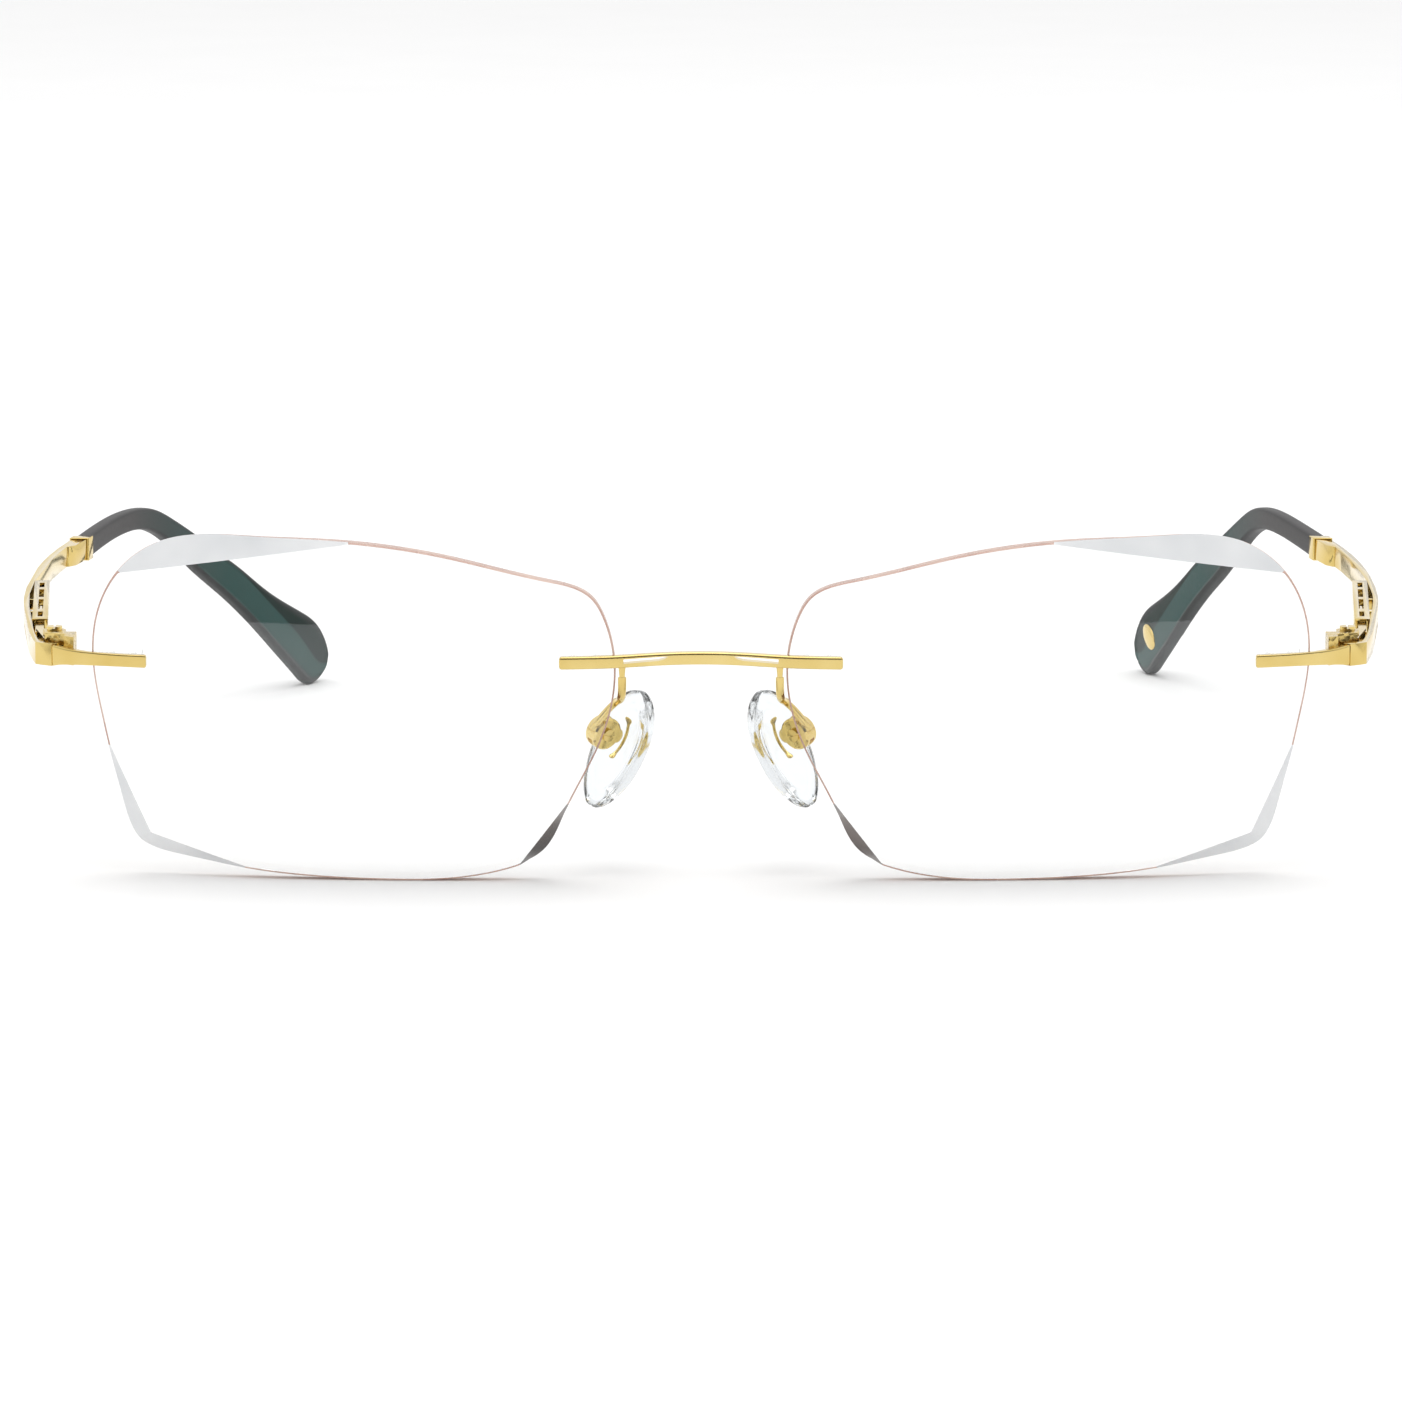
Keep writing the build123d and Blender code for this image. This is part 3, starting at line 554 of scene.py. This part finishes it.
x = eased(-15.2, 15.2, 200)
top, front = along_curve(BRIDGE_TOP, x), along_curve(BRIDGE_FRONT, x)
on_lens = np.abs(x) > 9.2
back = np.where(on_lens, np.minimum(front + BRIDGE_SIZE, ball_y(np.abs(x), 23.9) - FIT), front + BRIDGE_SIZE)
bridge = gold_piece("bridge_bar", bar_grid(x, front, back, top - BRIDGE_SIZE, top), "bridge")


# %% [markdown]
# Two long slots lighten the bridge. Each is cut with a Boolean modifier from a block of the slot's
# outline, and the result is read back as a plain mesh, so nothing live is left on the piece.

# %% slots in the bridge
def slot_block(sign):
    """The slot's outline carried from before the bridge to behind it, closed by its two ends."""
    outline = np.array(SLOT) * [sign, 1]
    ring = np.concatenate([np.stack([outline[:, 0], np.full(len(outline), y), outline[:, 1]], -1)
                           for y in (-4.0 - CENTRE_Y, 4.0 - CENTRE_Y)]) * MM
    n = len(outline)
    sides = [(k, (k + 1) % n, n + (k + 1) % n, n + k) for k in range(n)]
    mesh = bpy.data.meshes.new("slot block")
    mesh.from_pydata(ring.tolist(), [], sides + [tuple(range(n))[::-1], tuple(range(n, 2 * n))])
    work = bmesh.new()
    work.from_mesh(mesh)
    bmesh.ops.recalc_face_normals(work, faces=work.faces)
    work.to_mesh(mesh)
    work.free()
    block = bpy.data.objects.new("slot block", mesh)
    bpy.context.scene.collection.objects.link(block)
    return block


blocks = [slot_block(sign) for sign in SIDES.values()]
for block in blocks:
    cut = bridge.modifiers.new("slot", "BOOLEAN")
    cut.object, cut.operation, cut.solver = block, "DIFFERENCE", "EXACT"
bpy.context.view_layer.update()
graph = bpy.context.evaluated_depsgraph_get()
carved = bpy.data.meshes.new_from_object(bridge.evaluated_get(graph))
bridge.modifiers.clear()
bridge.data = carved
carved.materials.clear()
carved.materials.append(GOLD)
carved.set_sharp_from_angle(angle=np.radians(35))
for block in blocks:
    bpy.data.objects.remove(block)
print("bridge", len(carved.polygons), "faces")


# %% [markdown]
# Behind the bars, short pins stand in the lenses, and under the bridge two small lugs hold the pad
# arms. Each lug widens upwards into the bridge, as a brazed foot does. The end pieces are bars like
# the bridge, bent back towards the hinges behind the lens.

# %% lug shape
PIN_Z = {"bridge": 23.9, "end": TEMPLE_Z}
PINS = {"bridge": (11.2, 13.7), "end": (61.0, 63.4)}
PIN_FRONT, PIN_REAR = -0.6, 1.9      # from the lens front
END_BACK_X = [59.6, 65.5, 65.9, 66.6, 69.3, 70.1]
END_BACK_Y = [5.5, 5.5, 5.55, 6.2, 8.1, 8.1]
END_TIP = 0.22


def lug_grid(rows=24, cols=32):
    """Square section with round corners, cos and sin each as its root, whose half width grows from
    0.30 at the foot by the square of the height. A pole closes each end."""
    turn = np.linspace(0, 2 * np.pi, cols, endpoint=False)
    height = np.linspace(0, 1, rows)[:, None]
    half = 0.30 + 0.16 * height ** 2
    cx = np.sign(np.cos(turn)) * np.abs(np.cos(turn)) ** 0.5
    cy = np.sign(np.sin(turn)) * np.abs(np.sin(turn)) ** 0.5
    body = np.stack([8.45 + half * cx, 0.42 + half * cy, 22.1 + 1.7 * height + 0 * cx], -1)
    foot, head = (np.broadcast_to(body[k].mean(axis=0), (1, cols, 3)) for k in (0, -1))
    return np.concatenate([foot, body, head])


def end_grid():
    """Bar of an end piece. Its back lies on the lens as far as the lens reaches."""
    x = eased(59.6, 70.1, 80, END_TIP)
    front, top = along_curve(END_FRONT, x), along_curve(END_TOP, x)
    back = np.interp(x, END_BACK_X, END_BACK_Y)
    back = np.where(x < 65.6, np.minimum(back, ball_y(x, TEMPLE_Z) - FIT), back)
    back = np.maximum(back, front + 0.5)
    return bar_grid(x, front, back, 2 * TEMPLE_Z - top, top, END_TIP, 56, 0.2)


# %% pins, lugs and end pieces
for side, sign in SIDES.items():
    for part, node in (("bridge", "bridge"), ("end", f"end_piece_{side}")):
        for k, at in enumerate(PINS[part]):
            face = ball_y(at, PIN_Z[part])
            pin = pin_grid(at, PIN_Z[part], face + PIN_FRONT, face + PIN_REAR)
            gold_piece(f"{part}_pin_{side}_{k}", pin, node, sign)
    gold_piece(f"bridge_lug_{side}", lug_grid(), "bridge", sign)
    gold_piece(f"end_bar_{side}", end_grid(), f"end_piece_{side}", sign)
print("bars done")


# %% [markdown]
# A temple tip is a moulded sleeve over the end of the metal: a flat blade about two millimetres
# thick that runs level, bends down behind the ear and widens to a paddle. It is dark outside, and
# its inner face is a paler teal, set a little below a rim. Seen from the side, its upper and lower
# edges are two smooth curves that meet at the very end; seen from above, it follows the toe-in of
# its side. A section between the two edges, a rounded oblong, is carried along them.

# %% tip shape
TIP_HALF = 1.05              # half the blade's thickness
FACE_DIP = 0.20              # of the inner face below its rim
TIP_START = (73.25, 88.0)
TIPS = {                     # toe-in in degrees, where the bend is seen from above, reach past it
    "left": (32.0, (68.0, 101.5), 38.8),
    "right": (17.5, (68.4, 101.5), 42.6),
}
TIP_TOP_FRONT = [(88.0, 24.95), (94.0, 25.8), (100.0, 26.35)]
TIP_TOP = [(0.08, 25.9), (0.17, 24.4), (0.36, 20.4), (0.5, 17.3), (0.69, 12.75), (0.86, 9.5), (0.955, 7.3)]
TIP_END = [(1.0, 4.2), (0.985, 1.6), (0.92, 0.0)]
TIP_LOW = [(0.86, 1.25), (0.75, 4.7), (0.64, 8.2), (0.47, 13.0), (0.27, 18.1), (0.175, 20.9), (0.045, 23.45)]
TIP_LOW_FRONT = [(98.0, 23.75), (93.0, 23.15), (88.0, 22.3)]


def tip_edges(toe_in, bend, reach, count):
    """Upper and lower edge as depth and height, cut from one smooth outline where it ends."""
    forward = np.cos(np.radians(toe_in)) * reach
    past = [(bend[1] + share * forward, z) for share, z in TIP_TOP + TIP_END + TIP_LOW]
    outline = smooth_curve(TIP_TOP_FRONT + past + TIP_LOW_FRONT, 2400)
    end = np.argmax(outline[:, 0] - 0.25 * outline[:, 1])
    ease = 0.5 - 0.5 * np.cos(np.pi * np.linspace(0, 1, count))
    share = 0.55 * np.linspace(0, 1, count) + 0.45 * ease
    share = np.where(share > 0.9, 0.9 + 0.1 * np.sin((share - 0.9) / 0.1 * np.pi / 2), share)
    edges = []
    for part in (outline[:end + 1], outline[end:][::-1]):
        run = np.concatenate([[0], np.cumsum(np.linalg.norm(np.diff(part, axis=0), axis=1))])
        edges.append(np.stack([np.interp(share * run[-1], run, part[:, k]) for k in (0, 1)], -1))
    return edges


# %% the carried section
def tip_grid(side, rows=150, cols=64):
    """Section: an oblong of powers, u = cos and w = sin each raised to a small power, laid from
    edge to edge and across the blade. The inner face dips inside its rim."""
    toe_in, bend, reach = TIPS[side]
    top, low = tip_edges(toe_in, bend, reach, rows)
    away = np.array([-np.sin(np.radians(toe_in)), np.cos(np.radians(toe_in))])
    knots = [TIP_START, bend] + [tuple(np.array(bend) + away * reach * s * 1.03) for s in (0.2, 0.5, 0.8, 1.0)]
    plan = smooth_curve(knots, 1200)
    heading = np.gradient(plan, axis=0)
    heading /= np.linalg.norm(heading, axis=1)[:, None]
    turn = np.linspace(0, 2 * np.pi, cols, endpoint=False)
    up = np.sign(np.cos(turn)) * np.abs(np.cos(turn)) ** 0.42
    out = np.sign(np.sin(turn)) * np.abs(np.sin(turn)) ** 0.62
    middle, half = (top + low) / 2, (top - low) / 2
    tall = np.linalg.norm(half, axis=1)
    thin = TIP_HALF * np.sqrt(np.clip(tall / 1.2, 0, 1))[:, None]
    y = middle[:, :1] + half[:, :1] * up
    z = middle[:, 1:] + half[:, 1:] * up
    along = np.linspace(0, 1, rows)[:, None]
    border = 1 - np.clip((np.abs(up) * tall[:, None] - (tall[:, None] - 0.75)) / 0.35, 0, 1)
    begins = np.clip((along - 0.12) / 0.06, 0, 1)
    dip = FACE_DIP * border * (out < -0.6) * begins * np.clip(tall[:, None] - 1.2, 0, 1)
    across = thin * out + dip
    x = np.interp(y, plan[:, 1], plan[:, 0])
    hx = np.interp(y, plan[:, 1], heading[:, 0])
    hy = np.interp(y, plan[:, 1], heading[:, 1])
    grid = np.stack([x + hy * across, y - hx * across - CENTRE_Y, z], -1)
    grid[-1] = grid[-1].mean(axis=0)
    place = np.stack([along + 0 * up, out + 0 * along, up + 0 * along], -1)
    face = np.full((1, cols, 3), grid[0].mean(axis=0))
    return np.concatenate([face, grid]), np.concatenate([place[:1], place])


# %% two-tone tips
def tip_material():
    """Dark shell and teal inner face, greyer towards the metal. A painted shade, a darker wedge, crosses
    the face where three times the share along plus the share up passes a limit."""
    material, nodes, links, shader, coords = new_material("two-tone tip")
    mark = nodes.new("ShaderNodeAttribute")
    mark.attribute_name = "place"
    parts = nodes.new("ShaderNodeSeparateXYZ")
    links.new(mark.outputs["Vector"], parts.inputs["Vector"])
    shell = ramp(nodes, links, parts.outputs["X"], (0.070, 0.068, 0.069), (0.050, 0.056, 0.057), 0.10, 0.75)
    face = ramp(nodes, links, parts.outputs["X"], (0.088, 0.086, 0.086), (0.030, 0.080, 0.074), 0.25, 0.55)
    slant = nodes.new("ShaderNodeMath")
    slant.operation, slant.inputs[1].default_value = "MULTIPLY_ADD", 3.2
    links.new(parts.outputs["X"], slant.inputs[0])
    links.new(parts.outputs["Z"], slant.inputs[2])
    wedge = nodes.new("ShaderNodeMapRange")
    wedge.inputs["From Min"].default_value, wedge.inputs["From Max"].default_value = 2.62, 2.72
    links.new(slant.outputs["Value"], wedge.inputs["Value"])
    # painted shade: this mix lays a dark wedge over the upper inner face, where less light falls
    painted_shade = nodes.new("ShaderNodeMix")
    painted_shade.data_type = "RGBA"
    painted_shade.inputs["B"].default_value = (0.006, 0.022, 0.019, 1)
    links.new(wedge.outputs["Result"], painted_shade.inputs["Factor"])
    links.new(face, painted_shade.inputs["A"])
    inner = painted_shade.outputs["Result"]
    which = nodes.new("ShaderNodeMapRange")
    which.inputs["From Min"].default_value, which.inputs["From Max"].default_value = -0.85, -0.95
    links.new(parts.outputs["Y"], which.inputs["Value"])
    both = nodes.new("ShaderNodeMix")
    both.data_type = "RGBA"
    links.new(which.outputs["Result"], both.inputs["Factor"])
    links.new(shell, both.inputs["A"])
    links.new(inner, both.inputs["B"])
    links.new(both.outputs["Result"], shader.inputs["Base Color"])
    grain = noise(nodes, links, coords, 1800, 3)
    links.new(spread(nodes, links, grain, 0.36, 0.5), shader.inputs["Roughness"])
    shader.inputs["Specular IOR Level"].default_value = 0.14
    bump(nodes, links, shader, grain, 0.000008)
    return material


TIP = tip_material()
for side, sign in SIDES.items():
    grid, place = tip_grid(side)
    grid[..., 0] *= sign
    body = f"temple_body_{side}"
    piece = grid_piece(f"temple_tip_{side}", grid, body, crease=40, marks=place)
    piece.data.materials.append(TIP)
    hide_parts(f"tip_{side}")
    print(piece.name, len(piece.data.polygons), "faces")


# %% [markdown]
# The tip of the right temple carries a small domed oval of plain gold, let into the inner face near
# the end. The dome is a quarter turn of an ellipse swung round: rings that shrink as they rise.

# %% oval inlay
def inlay_grid(rings=14, spokes=72):
    """Rows from the dome's pole to its foot: radius share sin(a), rise cos(a), a from 0 to 90."""
    toe_in, bend, reach = TIPS["right"]
    away = np.array([-np.sin(np.radians(toe_in)), np.cos(np.radians(toe_in)), 0])
    inward = np.array([-away[1], away[0], 0])
    upward = np.array([0, 0, 1.0])
    lean = np.radians(24.0)
    long_way = away * np.cos(lean) + upward * np.sin(lean)
    short_way = np.cross(inward, long_way)
    foot = np.array([*bend, 0]) + away * reach * 0.885 + inward * (TIP_HALF - 0.28) + upward * 5.0
    a = np.linspace(0, np.pi / 2, rings)[:, None, None]
    turn = np.linspace(0, 2 * np.pi, spokes, endpoint=False)[None, :, None]
    beads = 1 - 0.06 * (np.abs(np.sin(a)) > 0.8) * (np.abs(np.sin(a)) < 0.9)
    dome = foot + 0.12 * inward + np.sin(a) * (2.1 * np.cos(turn) * long_way + 1.35 * np.sin(turn) * short_way)
    dome = dome + 0.26 * np.cos(a) * beads * inward
    base = foot + (dome[-1:] - foot - 0.12 * inward)
    close = np.broadcast_to(foot, (1, spokes, 3))
    return np.concatenate([dome, base, close]) - [0, CENTRE_Y, 0]


piece = grid_piece("tip_oval", inlay_grid(), "temple_body_right", crease=50)
piece.data.materials.append(GOLD)
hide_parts("tip_inlay")
print("oval", len(piece.data.polygons), "faces")


# %% [markdown]
# A nose pad is a drop of clear silicone moulded round a metal core, with a soft bead round its edge
# and a gently domed face. Rings of one drop-shaped outline make it: they grow and rise from the
# middle of the face to the bead, go round it and close again over the flat back.

# %% nose pads
PAD_SCREW = np.array([10.6, 6.4, 15.4])
PAD_UP = np.array([-np.sin(np.radians(24.0)), 0, np.cos(np.radians(24.0))])
PAD_FACE = np.array([-np.cos(np.radians(35.0)), np.sin(np.radians(35.0)), 0])
PAD_FACE = PAD_FACE - PAD_UP * (PAD_FACE @ PAD_UP)
PAD_FACE /= np.linalg.norm(PAD_FACE)
PAD_ACROSS = np.cross(PAD_UP, PAD_FACE)
PAD_LENGTH, PAD_WIDTH, PAD_THICKNESS = 13.8, 7.6, 2.5
PAD_BACK, PAD_DROP = 2.15, 1.4
DROP = [(0, 1), (0.78, 0.68), (1, 0.12), (0.72, -0.62), (0, -1), (-0.72, -0.62), (-1, 0.12), (-0.78, 0.68)]


def pad_grid(spokes=120):
    """Each ring is the outline scaled by a share, at a depth from the profile below: share and
    depth run over the face, sink a little inside the bead, and turn round the edge."""
    profile = smooth_curve([
        (0.0, 2.38), (0.25, 2.36), (0.5, 2.26), (0.68, 2.06), (0.78, 1.86), (0.86, 1.88), (0.94, 1.72),
        (0.99, 1.25), (1.0, 0.85), (0.975, 0.35), (0.92, 0.06), (0.84, 0.04), (0.76, 0.2), (0.6, 0.22),
        (0.3, 0.2), (0.0, 0.2),
    ], 60)
    profile[0, 0] = profile[-1, 0] = 0
    outline = smooth_curve(np.array(DROP) * [PAD_WIDTH / 2, PAD_LENGTH / 2], spokes, closed=True)
    flat = outline[None] * profile[:, None, :1]
    depth = PAD_BACK + profile[:, None, 1:]
    local = PAD_ACROSS * flat[..., :1] + PAD_UP * (flat[..., 1:] - PAD_DROP) + PAD_FACE * depth
    return local + PAD_SCREW - [0, CENTRE_Y, 0]


for side, sign in SIDES.items():
    grid = pad_grid()
    grid[..., 0] *= sign
    piece = grid_piece(f"silicone_pad_{side}", grid, f"pad_{side}", crease=80)
    piece.data.materials.append(SILICONE)
    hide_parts(f"nose_pad_{side}")
    print(piece.name, len(piece.data.polygons), "faces")


# %% [markdown]
# Inside the clear silicone sits the metal core: a bent strip with a small knob at each end, joined
# to the tab that hangs in the round box. Seen through the pad it is a gold arc. The strip is a
# flattened round profile along an arc; the knobs are where its profile swells.

# %% pad cores
def core_grid(rows=60, cols=20):
    """Arc in the pad's own plane: height from +2.5 to -2.7, bowed towards the face by the square
    of the height; radius swells near both ends as a bell curve."""
    share = np.linspace(0, 1, rows)[:, None, None]
    height = 2.3 - 4.9 * share
    bow = 1.45 * (1 - ((height + 0.15) / 2.45) ** 2)
    radius = 0.24 + 0.36 * np.exp(-((share - 0.06) / 0.07) ** 2) + 0.2 * np.exp(-((share - 0.95) / 0.07) ** 2)
    radius = radius * np.sqrt(np.clip(1 - (2 * share - 1) ** 40, 0, 1))
    turn = np.linspace(0, 2 * np.pi, cols, endpoint=False)[None, :, None]
    centre = PAD_SCREW + PAD_UP * height + PAD_FACE * (2.6 + bow)
    ring = 0.95 * np.cos(turn) * PAD_ACROSS + 0.8 * np.sin(turn) * PAD_FACE
    return centre + radius * ring - [0, CENTRE_Y, 0]


def tab_grid(rows=16, cols=40):
    """Flat tab from the round box to the arc: an oval whose radius is 1 less the across share to
    the eighth power, all under a root, so its two sides are flat and its edge is round."""
    share = np.linspace(-1, 1, rows)[:, None, None]
    radius = np.sqrt(np.clip(1 - share ** 8, 0, 1))
    turn = np.linspace(0, 2 * np.pi, cols, endpoint=False)[None, :, None]
    rise, reach = 1.0 * np.cos(turn) * radius, 0.95 + 2.0 * np.sin(turn) * radius
    return PAD_SCREW + PAD_ACROSS * 0.34 * share + PAD_UP * rise + PAD_FACE * reach - [0, CENTRE_Y, 0]


for side, sign in SIDES.items():
    for name, grid in (("core_arc", core_grid()), ("core_tab", tab_grid())):
        grid[..., 0] *= sign
        piece = grid_piece(f"{name}_{side}", grid, f"pad_{side}", crease=70)
        piece.data.materials.append(GOLD)
        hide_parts(f"pad_core_{side}")
        print(piece.name, len(piece.data.polygons), "faces")


# %% [markdown]
# The spring hinge hides a coil of steel wire in the slotted rail. A coil is a helix: a round profile
# carried along a line that turns about the rail's axis while it moves back. About three turns in a
# millimetre show through the slots as bright ribs.

# %% coil springs
HOUSING_FRONT, HOUSING_REAR = np.array([72.9, 25.0, 23.6]), np.array([75.1, 53.5, 23.6])


def coil_grid(start, end, turns, radius=0.37, wire=0.095, steps_a_turn=18, round_steps=8):
    """Tube round a helix. The helix is the axis point plus radius times (cos, sin) of its turn;
    the tube's ring lies in the plane of the axis and that spoke."""
    axis = (HOUSING_REAR - HOUSING_FRONT) / np.linalg.norm(HOUSING_REAR - HOUSING_FRONT)
    side_way = np.cross(axis, [0, 0, 1.0])
    up_way = np.array([0, 0, 1.0])
    share = np.linspace(0, 1, int(turns * steps_a_turn))[:, None, None]
    swing = 2 * np.pi * turns * share
    spoke = np.cos(swing) * side_way + np.sin(swing) * up_way
    middle = HOUSING_FRONT + axis * (start + (end - start) * share) + radius * spoke
    ring = np.linspace(0, 2 * np.pi, round_steps, endpoint=False)[None, :, None]
    tube = middle + wire * (np.cos(ring) * spoke + np.sin(ring) * axis)
    caps = [middle[:1] + 0 * tube[:1], middle[-1:] + 0 * tube[-1:]]
    return np.concatenate([caps[0], tube, caps[1]]) - [0, CENTRE_Y, 0]


for side, sign in SIDES.items():
    grid = coil_grid(6.95, 20.78, 44)
    grid[..., 0] *= sign
    piece = grid_piece(f"coil_{side}", grid, f"slider_body_{side}", crease=60)
    piece.data.materials.append(STEEL)
    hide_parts(f"flex_spring_{side}")
    print(piece.name, len(piece.data.polygons), "faces")


# %% [markdown]
# The camera stands a long way in front and looks slightly down, with a long lens, so the glasses
# hardly narrow towards the back.

# %% camera
camera = bpy.data.objects.new("camera", bpy.data.cameras.new("camera"))
camera.location = (0, -0.86033, 0.152)
camera.rotation_euler = (np.radians(80.5), 0, 0)
camera.data.lens, camera.data.sensor_width = 192.07, 36.0
camera.data.clip_end = 50
bpy.context.scene.collection.objects.link(camera)
bpy.context.scene.camera = camera


# %% [markdown]
# Polished metal shows its surroundings, so the room matters as much as the metal. Here it is a white
# tent: bright above and behind, with one dark band low in front that draws the brown lines along
# the lower edges. A wide lamp overhead gives the floor its thin soft shadows.

# %% floor, room and lamps
def white_floor():
    """One large flat sheet, far larger than the view."""
    mesh = bpy.data.meshes.new("floor")
    mesh.from_pydata([(-8, -4, 0), (8, -4, 0), (8, 20, 0), (-8, 20, 0)], [], [(0, 1, 2, 3)])
    floor = bpy.data.objects.new("floor", mesh)
    bpy.context.scene.collection.objects.link(floor)
    material, nodes, links, shader, place = new_material("white paper")
    fibre = noise(nodes, links, place, 30, 2)
    links.new(ramp(nodes, links, fibre, (0.90, 0.90, 0.90), (0.92, 0.92, 0.92)), shader.inputs["Base Color"])
    shader.inputs["Roughness"].default_value = 0.9
    shader.inputs["Specular IOR Level"].default_value = 0.1
    mesh.materials.append(material)


def room():
    """World light by direction: dark low in front, brighter with height, white elsewhere."""
    world = bpy.data.worlds.new("tent")
    world.use_nodes = True
    nodes, links = world.node_tree.nodes, world.node_tree.links
    back = nodes["Background"]
    place = nodes.new("ShaderNodeTexCoord")
    parts = nodes.new("ShaderNodeSeparateXYZ")
    links.new(place.outputs["Generated"], parts.inputs["Vector"])
    height = ramp(nodes, links, parts.outputs["Z"], (0.05, 0.04, 0.03), (0.97, 0.97, 0.97), 0.16, 0.72)
    front = nodes.new("ShaderNodeMapRange")
    front.inputs["From Min"].default_value, front.inputs["From Max"].default_value = -0.15, -0.65
    links.new(parts.outputs["Y"], front.inputs["Value"])
    mix = nodes.new("ShaderNodeMix")
    mix.data_type = "RGBA"
    mix.inputs["A"].default_value = (1, 1, 1, 1)
    links.new(front.outputs["Result"], mix.inputs["Factor"])
    links.new(height, mix.inputs["B"])
    links.new(mix.outputs["Result"], back.inputs["Color"])
    back.inputs["Strength"].default_value = 1.0
    bpy.context.scene.world = world


def lamp(name, place, aim, size, power):
    """Round soft lamp at a place, turned so that it looks at the aim."""
    light = bpy.data.lights.new(name, "AREA")
    light.shape, light.size, light.energy = "DISK", size, power
    piece = bpy.data.objects.new(name, light)
    piece.location = place
    away = np.array(place, float) - np.array(aim, float)
    away /= np.linalg.norm(away)
    piece.rotation_euler = (np.arccos(away[2]), 0, np.arctan2(away[1], away[0]) + np.pi / 2)
    bpy.context.scene.collection.objects.link(piece)


white_floor()
room()
lamp("overhead", (0, 0.1, 1.2), (0, 0, 0), 1.1, 6.0)
scene = bpy.context.scene
scene.view_settings.view_transform = "Standard"
scene.view_settings.look = "None"
print("room ready")
